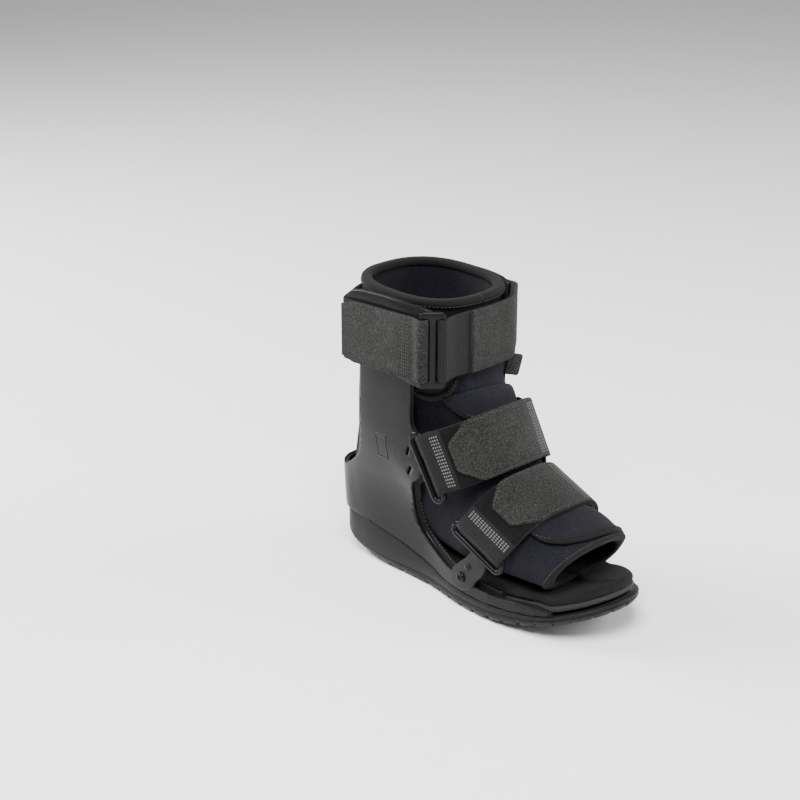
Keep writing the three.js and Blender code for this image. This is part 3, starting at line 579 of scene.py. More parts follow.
class Shader:
    """One procedural material on a Principled node."""

    def __init__(self, name: str) -> None:
        """Starts the material.

        Args:
            name: Name of the material.
        """
        self.material = bpy.data.materials.new(name)
        self.material.use_nodes = True
        self.tree = self.material.node_tree
        self.main = self.tree.nodes["Principled BSDF"]

    def plug(self, slot: bpy.types.NodeSocket, value: "Sock | float") -> None:
        """Links a socket or sets a constant.

        Args:
            slot: Input of a node.
            value: Socket to link, or the constant.
        """
        if isinstance(value, Sock):
            self.tree.links.new(value.out, slot)
        else:
            slot.default_value = value

    def coords(self, kind: str = "Object") -> tuple[Sock, Sock, Sock, Sock]:
        """Adds texture coordinates.

        Args:
            kind: Name of the coordinates, Object or UV.

        Returns:
            Their vector, x, y and z.
        """
        node = self.tree.nodes.new("ShaderNodeTexCoord")
        split = self.tree.nodes.new("ShaderNodeSeparateXYZ")
        self.tree.links.new(node.outputs[kind], split.inputs[0])
        return (Sock(self, node.outputs[kind]), *(Sock(self, o) for o in split.outputs))

    def node(self, kind: str, output: str | int, inputs: dict, **settings: str) -> Sock:
        """Adds a node.

        Args:
            kind: Type of the node.
            output: Name or number of the output to return.
            inputs: Value or link of each socket, by name or number.
            settings: Properties of the node, set first.

        Returns:
            The chosen output.
        """
        node = self.tree.nodes.new(kind)
        for key, value in settings.items():
            setattr(node, key, value)
        for key, value in inputs.items():
            self.plug(node.inputs[key], value)
        return Sock(self, node.outputs[output])

    def noise(self, scale: float, detail: float = 3, rough: float = 0.55) -> Sock:
        """Soft noise from 0 to 1."""
        return self.node("ShaderNodeTexNoise", "Fac", {"Vector": self.coords()[0], "Scale": scale,
                                                       "Detail": detail, "Roughness": rough})

    def cells(self, scale: float) -> Sock:
        """Distance to the nearest of scattered points."""
        return self.node("ShaderNodeTexVoronoi", "Distance", {"Vector": self.coords()[0], "Scale": scale})

    def mix(self, factor: "Sock | float", low: "Sock | Colour", high: "Sock | Colour") -> Sock:
        """Colour between two others."""
        low, high = (c if isinstance(c, Sock) else (*c, 1) for c in (low, high))
        return self.node("ShaderNodeMix", 2, {0: factor, 6: low, 7: high}, data_type="RGBA")

    def bump(self, height: Sock, strength: float, distance: float, below: Sock | None = None) -> Sock:
        """Normal from a height, on top of another one."""
        inputs = {"Strength": strength, "Distance": distance, "Height": height}
        return self.node("ShaderNodeBump", 0, inputs | ({"Normal": below} if below else {}))

    def finish(self, colour: Sock, rough: "Sock | float", normal: Sock | None = None, sheen: float = 0,
               sheen_tint: Colour = (1, 1, 1), specular: float = 0.5) -> Finish:
        """Fills the main node.

        Args:
            colour: Base colour.
            rough: Roughness.
            normal: Optional normal.
            sheen: Weight of the sheen.
            sheen_tint: Colour of the sheen.
            specular: Strength of the reflection.

        Returns:
            The finished material.
        """
        inputs = {"Base Color": colour, "Roughness": rough, "Sheen Weight": sheen, "Sheen Roughness": 0.5,
                  "Sheen Tint": (*sheen_tint, 1), "Specular IOR Level": specular}
        for key, value in (inputs | ({"Normal": normal} if normal else {})).items():
            self.plug(self.main.inputs[key], value)
        return self.material


def grey(value: float, warm: float = 0.0) -> Colour:
    """Near-neutral colour, a little warmer or cooler."""
    return (value * (1 + warm), value, value * (1 - warm))


@dataclass(frozen=True)
class Finishes:
    """Materials of the boot."""

    @staticmethod
    def moulded(name: str, base: float, rough: float, grain: float) -> Finish:
        """Moulded plastic with fine grain and rubbed places.

        Args:
            name: Name of the material.
            base: Brightness of its colour.
            rough: Mean roughness.
            grain: Strength of the grain.

        Returns:
            The material.
        """
        s = Shader(name)
        fine, broad = s.noise(1500, 2), s.noise(22, 4)
        speck, dust = s.noise(420, 3), s.noise(1100, 2)
        colour = s.mix(broad.clamp(0.35, 0.7), grey(base * 0.75), grey(base * 1.2, 0.01))
        colour = s.mix(speck.clamp(0.64, 0.7) * 0.35, colour, grey(base * 2.6))
        colour = s.mix(dust.clamp(0.62, 0.75) * 0.3, colour, grey(base * 3))
        roughness = rough + (broad - 0.5) * 0.3 + (speck - 0.5) * 0.15
        return s.finish(colour, roughness, s.bump(fine + speck * 0.5, grain, 0.0005), specular=0.12)

    @staticmethod
    def fabric(name: str, low: Colour, high: Colour, sheen: float, nap: float,
               thread: float = FABRIC_THREAD) -> Finish:
        """Brushed cloth with a fine knit, a soft sheen and pale specks of painted highlight.

        Args:
            name: Name of the material.
            low: Colour between the threads.
            high: Colour of the threads.
            sheen: Weight of the sheen.
            nap: Strength of the nap.
            thread: Scale of the knit.

        Returns:
            The material.
        """
        s = Shader(name)
        fuzz, broad = s.noise(760, 4, rough=0.65), s.noise(26, 4)
        fine = s.noise(thread, 3, rough=0.7)
        # Pale specks in the colour: painted highlights that stand for glints off the fibre tips.
        fibre_glint_specks = s.noise(330, 2).clamp(0.66, 0.72)
        colour = s.mix((broad * 0.2 + fuzz * 0.8).clamp(0.41, 0.63), low, high)
        colour = s.mix(fine.clamp(0.58, 0.7) * 0.5, colour, tuple(c * 2 for c in high))
        colour = s.mix(fibre_glint_specks * 0.3, colour, tuple(c * 2.5 + 0.01 for c in high))
        normal = s.bump(fine, nap, 0.0005, s.bump(fuzz, nap, 0.0012))
        return s.finish(colour, 0.94 + (broad - 0.5) * 0.1, normal, sheen, grey(0.7), 0.15)

    @staticmethod
    def webbing(name: str, low: Colour, high: Colour, pitch: float = 0.0016) -> Finish:
        """Woven band whose ribs follow its own flat coordinates.

        Args:
            name: Name of the material.
            low: Colour between the ribs.
            high: Colour of the ribs.
            pitch: Distance from rib to rib, in metres.

        Returns:
            The material.
        """
        s = Shader(name)
        _, u, v, _ = s.coords("UV")
        turn = 2 * math.pi / pitch
        rib = (v * turn).sine()
        weave = (u * (turn * 0.8) + rib * 1.2).sine()
        fuzz = s.noise(1400, 4)
        height = (rib * 0.2 + weave * 0.3 + fuzz * 1.8) * 0.5
        colour = s.mix(height.clamp(0.2, 0.8), low, high)
        normal = s.bump(height, 0.7, 0.0005)
        return s.finish(colour, 0.85 + (fuzz - 0.5) * 0.2, normal, 0.05, grey(0.6), 0.12)


def build_materials() -> dict[Slot, Finish]:
    """Makes the finish of each slot of the record.

    Returns:
        Finish by slot.
    """
    f = Finishes
    foam = Shader("footbed_foam")
    _, _, _, z = foam.coords()
    pore = foam.cells(900)
    line = (z * (2 * math.pi / 0.0021)).sine()
    low = foam.mix(foam.noise(60, 3), (0.0052, 0.0051, 0.005), (0.0118, 0.0116, 0.0112))
    low = foam.mix(line.clamp(-0.2, 1) * 0.5, low, (0.003, 0.003, 0.003))
    foam.finish(low, 0.8 + pore * 0.1, foam.bump(line * 0.5 + pore * 0.4, 0.5, 0.0006), 0.03)
    return {
        Slot.SHELL: f.moulded("shell_plastic", 0.0085, 0.33, 0.2),
        Slot.RUBBER: f.moulded("sole_rubber", 0.0085, 0.45, 0.5),
        Slot.FOAM: foam.material,
        Slot.FABRIC: f.fabric("liner_fabric", (0.0022, 0.0021, 0.0042), (0.0086, 0.008, 0.0148), 0.05, 0.8),
        Slot.TAPE: f.webbing("edge_tape", (0.0025, 0.0024, 0.0024), (0.011, 0.0104, 0.0102), 0.0011),
        Slot.WEBBING: f.webbing("strap_webbing", (0.004, 0.0039, 0.0039), (0.019, 0.0185, 0.018)),
        Slot.PILE: f.fabric("strap_pile", (0.0028, 0.0028, 0.0027), (0.031, 0.0306, 0.0286), 0.08, 1.0,
                            PILE_THREAD),
        Slot.BUCKLE: f.moulded("buckle_plastic", 0.005, 0.2, 0.15),
    }


# Repeated small parts.


class Repeater:
    """Geometry nodes that set a small block on every point of a row."""

    NAMES = ("Length", "Width", "Height")

    def __init__(self) -> None:
        """Builds the node tree, with its sizes and material as inputs."""
        tree = bpy.data.node_groups.new("blocks_on_points", "GeometryNodeTree")
        tree.interface.new_socket("Geometry", in_out="INPUT", socket_type="NodeSocketGeometry")
        for name in self.NAMES:
            tree.interface.new_socket(name, in_out="INPUT", socket_type="NodeSocketFloat")
        tree.interface.new_socket("Material", in_out="INPUT", socket_type="NodeSocketMaterial")
        tree.interface.new_socket("Geometry", in_out="OUTPUT", socket_type="NodeSocketGeometry")
        new, link = tree.nodes.new, tree.links.new
        start, end = new("NodeGroupInput"), new("NodeGroupOutput")
        ball = new("GeometryNodeMeshUVSphere")
        ball.inputs["Segments"].default_value = 8
        ball.inputs["Rings"].default_value = 6
        ball.inputs["Radius"].default_value = 0.5
        size = new("ShaderNodeCombineXYZ")
        turn = new("GeometryNodeInputNamedAttribute")
        turn.data_type = "FLOAT_VECTOR"
        turn.inputs["Name"].default_value = "turn"
        place = new("GeometryNodeInstanceOnPoints")
        real = new("GeometryNodeRealizeInstances")
        paint = new("GeometryNodeSetMaterial")
        for i, name in enumerate(self.NAMES):
            link(start.outputs[name], size.inputs[i])
        link(start.outputs["Geometry"], place.inputs["Points"])
        link(ball.outputs["Mesh"], place.inputs["Instance"])
        link(turn.outputs["Attribute"], place.inputs["Rotation"])
        link(size.outputs[0], place.inputs["Scale"])
        link(place.outputs[0], real.inputs[0])
        link(real.outputs[0], paint.inputs[0])
        link(start.outputs["Material"], paint.inputs["Material"])
        link(paint.outputs[0], end.inputs[0])
        self.tree = tree

    def row(self, name: str, points: Array, along: Array, out: Array,
            size: tuple[float, float, float], material: Finish) -> Piece:
        """Blocks at points in millimetres, each turned to its own directions.

        Args:
            name: Name of the object.
            points: Middles of the blocks.
            along: Direction of each block's length.
            out: Direction of each block's height.
            size: Length, width and height in millimetres.
            material: Finish of the blocks.

        Returns:
            A plain mesh with all the blocks.
        """
        mesh = bpy.data.meshes.new(name + "_points")
        mesh.from_pydata((points * MM).tolist(), [], [])
        turns = []
        for a, o in zip(along, out):
            x = Vector(a).normalized()
            z = (Vector(o) - Vector(o).dot(x) * x).normalized()
            turns.append(tuple(Matrix((x, z.cross(x), z)).transposed().to_euler()))
        layer = mesh.attributes.new("turn", "FLOAT_VECTOR", "POINT")
        layer.data.foreach_set("vector", np.array(turns).ravel())
        temp = link_object(name + "_points", mesh)
        modifier = temp.modifiers.new("blocks", "NODES")
        modifier.node_group = self.tree
        sockets = {i.name: i.identifier for i in self.tree.interface.items_tree if i.in_out == "INPUT"}
        for key, value in zip(self.NAMES, size):
            modifier[sockets[key]] = float(value * MM)
        modifier[sockets["Material"]] = material
        done = plain_mesh(temp)
        done.name = name
        done.polygons.foreach_set("use_smooth", [True] * len(done.polygons))
        return link_object(name, done)


@dataclass
class Boot:
    """What every sub-assembly needs: finishes and the maker of repeated parts."""

    materials: dict[Slot, Finish]
    repeater: Repeater
    stitch: Finish
    dot: Finish
    hook: Finish
    smooth_foam: Finish

    def place(self, obj: Piece, slot: Slot, *nodes: str,
              finish: Finish | None = None) -> Piece:
        """Gives a piece its finish and its body, and hides the solids that it stands for.

        Args:
            obj: The piece.
            slot: Material slot of the record.
            nodes: Names of the solids that it stands for.
            finish: Finish to use in place of the slot's own.

        Returns:
            The same piece.
        """
        obj.data.materials.clear()
        obj.data.materials.append(finish or self.materials[slot])
        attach(obj, "root")
        if nodes:
            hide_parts(*nodes)
        return obj

    def stitches(self, name: str, line: Array, out: Array, slot: Slot, pitch: float = 3.0,
                 size: tuple[float, float, float] = EDGE_SEAM, dots: bool = False) -> Piece:
        """Row of stitches or dots along a line.

        Args:
            name: Name of the object.
            line: Points of the line.
            out: Direction away from the cloth, at each point or for all.
            slot: Material slot of the record.
            pitch: Distance from stitch to stitch.
            size: Length, width and height of a stitch.
            dots: Whether they have the pale finish of the dots.

        Returns:
            The row as one piece.
        """
        arc, finish = arc_length(line), self.dot if dots else self.stitch
        at = np.arange(pitch / 2, arc[-1], pitch)
        pick = lambda values: np.stack([np.interp(at, arc, values[:, k]) for k in range(3)], 1)
        out = np.broadcast_to(out, line.shape)
        obj = self.repeater.row(name, pick(line), pick(np.gradient(line, axis=0)), pick(out), size, finish)
        return self.place(obj, slot, finish=finish)


# The soft pass.


def puff(obj: Piece, held: Array, pressure: float, cap: float) -> None:
    """Fills a closed piece of cloth with a short simulation and keeps the moves small.

    Args:
        obj: Closed mesh of the piece.
        held: For each vertex, 1 where a seam holds it and 0 where it is free.
        pressure: Push from inside.
        cap: Largest move of a vertex, in millimetres.
    """
    rest = np.zeros(len(obj.data.vertices) * 3)
    obj.data.vertices.foreach_get("co", rest)
    group = obj.vertex_groups.new(name="held")
    for weight in (1.0, 0.5):
        chosen = np.nonzero(np.isclose(held, weight, atol=0.26))[0].tolist()
        group.add(chosen, weight, "REPLACE")
    cloth = obj.modifiers.new("cloth", "CLOTH")
    s = cloth.settings
    s.quality, s.mass, s.tension_stiffness, s.bending_stiffness = 6, 0.2, 12, 1.5
    s.vertex_group_mass = "held"
    s.use_pressure, s.uniform_pressure_force = True, pressure
    s.effector_weights.gravity = 0
    cloth.point_cache.frame_start, cloth.point_cache.frame_end = 1, CLOTH_FRAMES
    scene = bpy.context.scene
    for frame in range(1, CLOTH_FRAMES + 1):
        scene.frame_set(frame)
    moved = np.zeros_like(rest)
    obj.evaluated_get(bpy.context.evaluated_depsgraph_get()).data.vertices.foreach_get("co", moved)
    obj.modifiers.remove(cloth)
    scene.frame_set(1)
    step = (moved - rest).reshape(-1, 3)
    length = np.linalg.norm(step, axis=1, keepdims=True)
    step *= np.minimum(1, cap * MM / np.maximum(length, 1e-9))
    obj.data.vertices.foreach_set("co", (rest.reshape(-1, 3) + np.nan_to_num(step)).ravel())
    obj.data.update()
    LOG.info("%s filled, largest move %.2f mm", obj.name, float(np.nanmax(length)) / MM)


# Sub-assemblies.


@dataclass
class Sole:
    """Rubber rocker sole and the foam footbed that shows at the toe."""

    tread_pitch: float = 15.5
    notch_width: float = 3.0
    notch_depth: float = 2.4

    def build(self, boot: Boot) -> None:
        """Makes the outsole and both layers of foam.

        Args:
            boot: Finishes and the maker of repeated parts.
        """
        ring = full_ring(sole_half(SOLE_BACK, 40))
        y = ring[:, 1]
        arc = np.cumsum(np.linalg.norm(ring - np.roll(ring, 1, 0), axis=1))
        notch = (np.mod(arc, self.tread_pitch) < self.notch_width) * self.notch_depth
        draft = 4 * np.clip((y - 40) / 60, 0, 1)
        low, top = sole_bottom(y), rubber_top(y)
        band = low + np.minimum(8, 0.62 * (top - low))
        floor = np.where(y > 5, CUP_FLOOR, top - 0.5)
        levels = [(3.4 + draft, low, 0.01), (3.4 + draft, low, 0.5), (3.4 + draft, low + notch, 0.94),
                  (3.2 + draft, low + notch, 1), (2.2 + 0.9 * draft, low + 0.6 + notch, 1),
                  (1 + 0.8 * draft, low + 2.5 + 0.6 * notch, 1),
                  (0.3 + 0.5 * draft, low + 4.2 + 0.4 * notch, 1),
                  (0.1 + 0.2 * draft, band - 0.8, 1), (0.5, band - 0.1, 1), (0.9, band + 0.3, 1),
                  (0.3, band + 0.9, 1), (0, band + 1.6, 1), (0, top - 1.4, 1), (0.3, top - 0.4, 1),
                  (1.1, top, 1), (CUP_WALL - 0.8, top, 1), (CUP_WALL, top - 0.8, 1),
                  (CUP_WALL + 0.2, floor, 1), (CUP_WALL + 4, floor, 0.5), (CUP_WALL + 4, floor, 0.01)]
        rings = []
        for inset, height, share in levels:
            plan = inset_ring(ring, inset) * (share, 1)
            rings.append(np.column_stack([plan, np.broadcast_to(height, y.shape)]))
        boot.place(loft("outsole_rubber", np.array(rings)), Slot.RUBBER, "outsole")
        self._pad(boot, "footbed_lower", 0.0, self._plate, self._middle, "footbed_base")
        self._pad(boot, "footbed_upper", 0.8, lambda v: self._middle(v) + 0.35, footbed_top, "footbed_top")

    @staticmethod
    def _plate(y: Array) -> Array:
        """Height of the shell's plate, where the lower pad rests."""
        floor = np.where(y > 0, np.minimum(CUP_FLOOR, rubber_top(y)), rubber_top(y))
        return floor + 1.4 + 3.4 * np.clip((y + 112) / 20, 0.15, 1)

    def _middle(self, y: Array) -> Array:
        """Height of the joint between both pads."""
        return (self._plate(y) - 1.05 + footbed_top(y)) / 2

    @staticmethod
    def _pad(boot: Boot, name: str, extra: float, low: Callable, high: Callable, node: str) -> None:
        """One layer of foam between two heights.

        Args:
            boot: Finishes and the maker of repeated parts.
            name: Name of the object.
            extra: Further distance in from the layer below.
            low: Height of its lower face, from the place along the boot.
            high: Height of its upper face, from the same place.
            node: Name of the solid that it stands for.
        """
        ring = full_ring(sole_half(SOLE_BACK, 30))
        y = ring[:, 1]
        side = CUP_WALL + 1 + 4.0 * np.clip((y + 108) / 12, 0, 1) + extra
        a, b = low(y), high(y)
        levels = [(side, a, 0.01), (side + 1, a, 0.9), (side + 0.6, a, 1), (side, a + 0.7, 1),
                  (side - 0.3, (a + b) / 2, 1), (side, b - 1.6, 1), (side + 0.7, b - 0.5, 1),
                  (side + 1.8, b, 1), (side + 6, b + 0.1, 1), (side + 6, b, 0.5), (side + 6, b, 0.01)]
        rings = [np.column_stack([inset_ring(ring, i) * (k, 1), h]) for i, h, k in levels]
        finish = boot.smooth_foam if extra else None
        boot.place(loft(name, np.array(rings)), Slot.FOAM, node, finish=finish)


@dataclass
class Shell:
    """Moulded shell: rails, heel cup and two uprights as one curved wall."""

    spacing: float = 2.0
    span: float = 330.0
    edge_clear: float = 0.9
    slot_clear: float = 1.0
    reach: tuple[float, float] = (12, 202)
    ear_slots: tuple = ((32.5, 105, 10, 0.5), (33.0, 122.0, 8, 0.25))
    rim_angles: tuple = (35, 90, 145)
    square: tuple = ((64.5, 6.5), (117, 11))

    def __post_init__(self) -> None:
        """Works out the outer face's half outline at each height of the table."""
        tables = []
        for _, oval, back in SHELL_ROWS:
            half = sole_half(back, 26)
            half = inset_ring(full_ring(half), SHELL_GAP)[:len(half)]
            half[0, 0] = half[-1, 0] = 0
            along = np.clip((half[:, 1] - SOLE_FRONT) / (back - SOLE_FRONT), 0, 1)
            x = (UPRIGHT_HALF - SHELL_GAP) * (1 - np.abs(2 * along - 1) ** 3) ** (1 / 3)
            y = UPRIGHT_FRONT + (back - SHELL_GAP - UPRIGHT_FRONT) * along
            tables.append(half + (np.column_stack([x, y]) - half) * oval)
        self.table = np.array(tables)

    def at(self, t: Array, z: Array) -> Array:
        """Points of the outer face.

        Args:
            t: Signed place round the outline, 0 at the back and 1 at the toe.
            z: Height above the floor.

        Returns:
            Points with one more axis than the inputs.
        """
        t, z = np.asarray(t, float), np.asarray(z, float)
        levels = SHELL_ROWS[:, 0]
        i = np.clip(np.searchsorted(levels, z) - 1, 0, len(levels) - 2)
        h = levels[i + 1] - levels[i]
        s = np.clip((z - levels[i]) / h, 0, 1)
        grid = np.linspace(0, 1, self.table.shape[1])
        j = np.clip((np.abs(t) * (len(grid) - 1)).astype(int), 0, len(grid) - 2)
        f = (np.abs(t) * (len(grid) - 1) - j)[..., None]
        value = lambda r: self.table[r, j] * (1 - f) + self.table[r, j + 1] * f
        a, b = value(i), value(i + 1)
        before, after = np.maximum(i - 1, 0), np.minimum(i + 2, len(levels) - 1)
        ma = (b - value(before)) / (levels[i + 1] - levels[before])[..., None] * h[..., None]
        mb = (value(after) - a) / (levels[after] - levels[i])[..., None] * h[..., None]
        s = s[..., None]
        p = ((2 * s**3 - 3 * s**2 + 1) * a + (s**3 - 2 * s**2 + s) * ma
             + (3 * s**2 - 2 * s**3) * b + (s**3 - s**2) * mb)
        sign = np.where(t < 0, -1.0, 1.0)
        return np.stack([p[..., 0] * sign, p[..., 1], z], -1)

    def place_of(self, y: float, z: float) -> float:
        """Finds a place round the outline.

        Args:
            y: Place along the boot.
            z: Height at which the wall has that place.

        Returns:
            Place from 0 at the back to 1 at the toe.
        """
        t = np.linspace(0, 1, 400)
        line = self.at(t, np.full(400, z))[:, 1]
        return float(np.interp(-y, -line, t))

    def normal(self, t: Array, z: Array) -> Array:
        """Outward direction of the wall.

        Args:
            t: Signed place round the outline.
            z: Height above the floor.

        Returns:
            Vectors of length one.
        """
        e = 0.004
        dt = self.at(t + e, z) - self.at(t - e, z)
        dz = self.at(t, z + 1) - self.at(t, z - 1)
        n = unit(np.cross(dz, dt))
        centre = np.array([0.0, 60.0, 0.0])
        flip = np.sum(n * (self.at(t, z) - centre), -1, keepdims=True) < 0
        return np.where(flip, -n, n)

    def build(self, boot: Boot) -> None:
        """Makes the wall, the trim inside its rim and the bare square.

        Args:
            boot: Finishes and the maker of repeated parts.
        """
        edge = centripetal(SHELL_EDGE, 5)
        top = np.array([(self.place_of(y, z) * self.span, z) for y, z in edge])
        t = np.linspace(top[-1, 0] / self.span, 0, 150)
        z = np.full(150, 20.0)
        for _ in range(4):
            z = rubber_top(self.at(t, z)[:, 1]) + 0.25
        bottom = np.column_stack([t * self.span, z])
        top[0, 0] = 0
        mirrored = np.vstack([(bottom[1:-1] * (-1, 1))[::-1], (top[1:] * (-1, 1))[::-1]])
        self._wall(boot, np.vstack([top, bottom[1:], mirrored]))
        self._trim(boot)
        self._mark(boot)

    def _slots(self) -> list[Array]:
        """Thin slots in both ears.

        Returns:
            Loops, as distance round the outline and height.
        """
        out = []
        for sign in (-1, 1):
            for y, z, long, lean in self.ear_slots:
                turn = np.array([(math.cos(lean), math.sin(lean)), (-math.sin(lean), math.cos(lean))])
                box = rounded_rectangle(2.0, long, 0.9, 4) @ turn + (y, z)
                out.append(np.array([(sign * self.span * self.place_of(*p), p[1]) for p in box]))
        return out

    def _wall(self, boot: Boot, loop: Array) -> None:
        """Fills the loop with small faces, wraps them round the foot and rounds the rim.

        Args:
            boot: Finishes and the maker of repeated parts.
            loop: Outline of the wall, as distance round the foot and height.
        """
        slots = self._slots()
        grid = np.array([(a, b) for a in np.arange(-self.span, self.span, self.spacing)
                         for b in np.arange(*self.reach, self.spacing)])
        near_slot = np.min([self._distance(grid, s) for s in slots], 0)
        keep = self._inside(grid, loop) & (self._distance(grid, loop) > self.edge_clear)
        keep &= near_slot > self.slot_clear
        points = np.vstack([loop, *slots, grid[keep]])
        n = len(loop)
        edges = [(i, (i + 1) % n) for i in range(n)]
        for s in slots:
            edges += [(n + i, n + (i + 1) % len(s)) for i in range(len(s))]
            n += len(s)
        flat, _, faces, *_ = delaunay_2d_cdt([Vector(p) for p in points], edges, [], 1, 1e-5)
        flat = np.array([tuple(v) for v in flat])
        centre = np.array([flat[list(f)].mean(0) for f in faces])
        drop = ~self._inside(centre, loop)
        for s in slots:
            drop |= self._inside(centre, s)
        faces = np.array([f for f, d in zip(faces, drop) if not d])
        t, z = flat[:, 0] / self.span, flat[:, 1]
        outer, normal = self.at(t, z), self.normal(t, z)
        inner = outer - normal * SHELL_WALL
        count = len(outer)
        sides = [e for a, b, c in faces for e in ((a, b), (b, c), (c, a))]
        shared = set(sides)
        rim = [(a, b) for a, b in sides if (b, a) not in shared]
        side = np.zeros((count, 3))
        for a, b in rim:
            direction = np.cross(outer[b] - outer[a], normal[a])
            for k in (a, b):
                side[k] += unit(direction)
        side = unit(side)
        border = sorted({k for e in rim for k in e})
        index = {k: i for i, k in enumerate(border)}
        rows = []
        for angle in self.rim_angles:
            c, s = math.cos(math.radians(angle)), math.sin(math.radians(angle))
            mid = outer[border] - normal[border] * SHELL_WALL / 2
            rows.append(mid + normal[border] * c * SHELL_WALL / 2 + side[border] * s * 1.0)
        points = np.vstack([outer, inner, *rows])
        quads = []
        for a, b in rim:
            chain_a = [a] + [2 * count + r * len(border) + index[a] for r in range(3)] + [a + count]
            chain_b = [b] + [2 * count + r * len(border) + index[b] for r in range(3)] + [b + count]
            quads += [(chain_a[i], chain_a[i + 1], chain_b[i + 1], chain_b[i]) for i in range(4)]
        tris = [tuple(f) for f in faces] + [tuple(f[::-1] + count) for f in faces]
        obj = mesh_object("shell_wall", points, tris + quads)
        boot.place(obj, Slot.SHELL, "shell")
        LOG.info("shell wall: %d faces", len(obj.data.polygons))

    @staticmethod
    def _inside(points: Array, loop: Array) -> Array:
        """Tells which flat points lie within a loop.

        Args:
            points: Points to test.
            loop: Corners of the loop.

        Returns:
            True for each that does.
        """
        x, y = points[:, 0], points[:, 1]
        hit = np.zeros(len(points), bool)
        for (ax, ay), (bx, by) in zip(loop, np.roll(loop, -1, 0)):
            if ay != by:
                hit ^= ((ay > y) != (by > y)) & (x < (bx - ax) * (y - ay) / (by - ay) + ax)
        return hit

    @staticmethod
    def _distance(points: Array, loop: Array) -> Array:
        """Distance from flat points to a loop.

        Args:
            points: Points to measure from.
            loop: Corners of the loop.

        Returns:
            Distance of each point.
        """
        best = np.full(len(points), 1e9)
        for a, b in zip(loop, np.roll(loop, -1, 0)):
            d = b - a
            s = np.clip((points - a) @ d / max(d @ d, 1e-9), 0, 1)[:, None]
            best = np.minimum(best, np.linalg.norm(points - a - s * d, axis=1))
        return best

    def _trim(self, boot: Boot) -> None:
        """Tape inside the rim, with its seam.

        Args:
            boot: Finishes and the maker of repeated parts.
        """
        rim = centripetal(SHELL_EDGE[19:36], 8)
        for sign, node in ((-1, "rim_trim_lateral"), (1, "rim_trim_medial")):
            t = np.array([self.place_of(y, z) for y, z in rim]) * sign
            p, n = self.at(t, rim[:, 1]), self.normal(t, rim[:, 1])
            tangent = unit(np.gradient(p, axis=0))
            out = unit(np.cross(n, tangent)) * sign
            out *= np.where(out[:, 2:3] + 0.4 * (-out[:, 1:2]) < -0.2, -1, 1)
            centre = p - n * (SHELL_WALL + 1.3) - out * 0.4
            boot.place(sweep_band(node + "_tape", centre, out, 3.4, 3.0), Slot.TAPE, node)
            boot.stitches(node + "_seam", centre + out * 3.3 + n * 0.6, out, Slot.TAPE, 3.4, RIM_SEAM, True)

    def _mark(self, boot: Boot) -> None:
        """Bare moulded square that stands a little proud of the outer upright.

        Args:
            boot: Finishes and the maker of repeated parts.
        """
        share = np.linspace(-1, 1, 45)
        u, v = np.meshgrid(share, share, indexing="ij")
        (y, half_y), (z, half_z) = self.square
        y, z = y - half_y * u, z + half_z * v
        t = -np.vectorize(self.place_of)(y, z)
        rim = 1 - np.maximum(np.abs(u), np.abs(v))
        relief = 0.45 * np.clip(rim / 0.06, 0, 1) - 0.35 * np.clip((rim - 0.14) / 0.06, 0, 1)
        face, normal = self.at(t, z), self.normal(t, z)
        layers = [face + normal * relief[..., None], (face - normal * 1.2)[:, ::-1]]
        boot.place(loft("shell_square", np.concatenate(layers, 1)), Slot.SHELL)


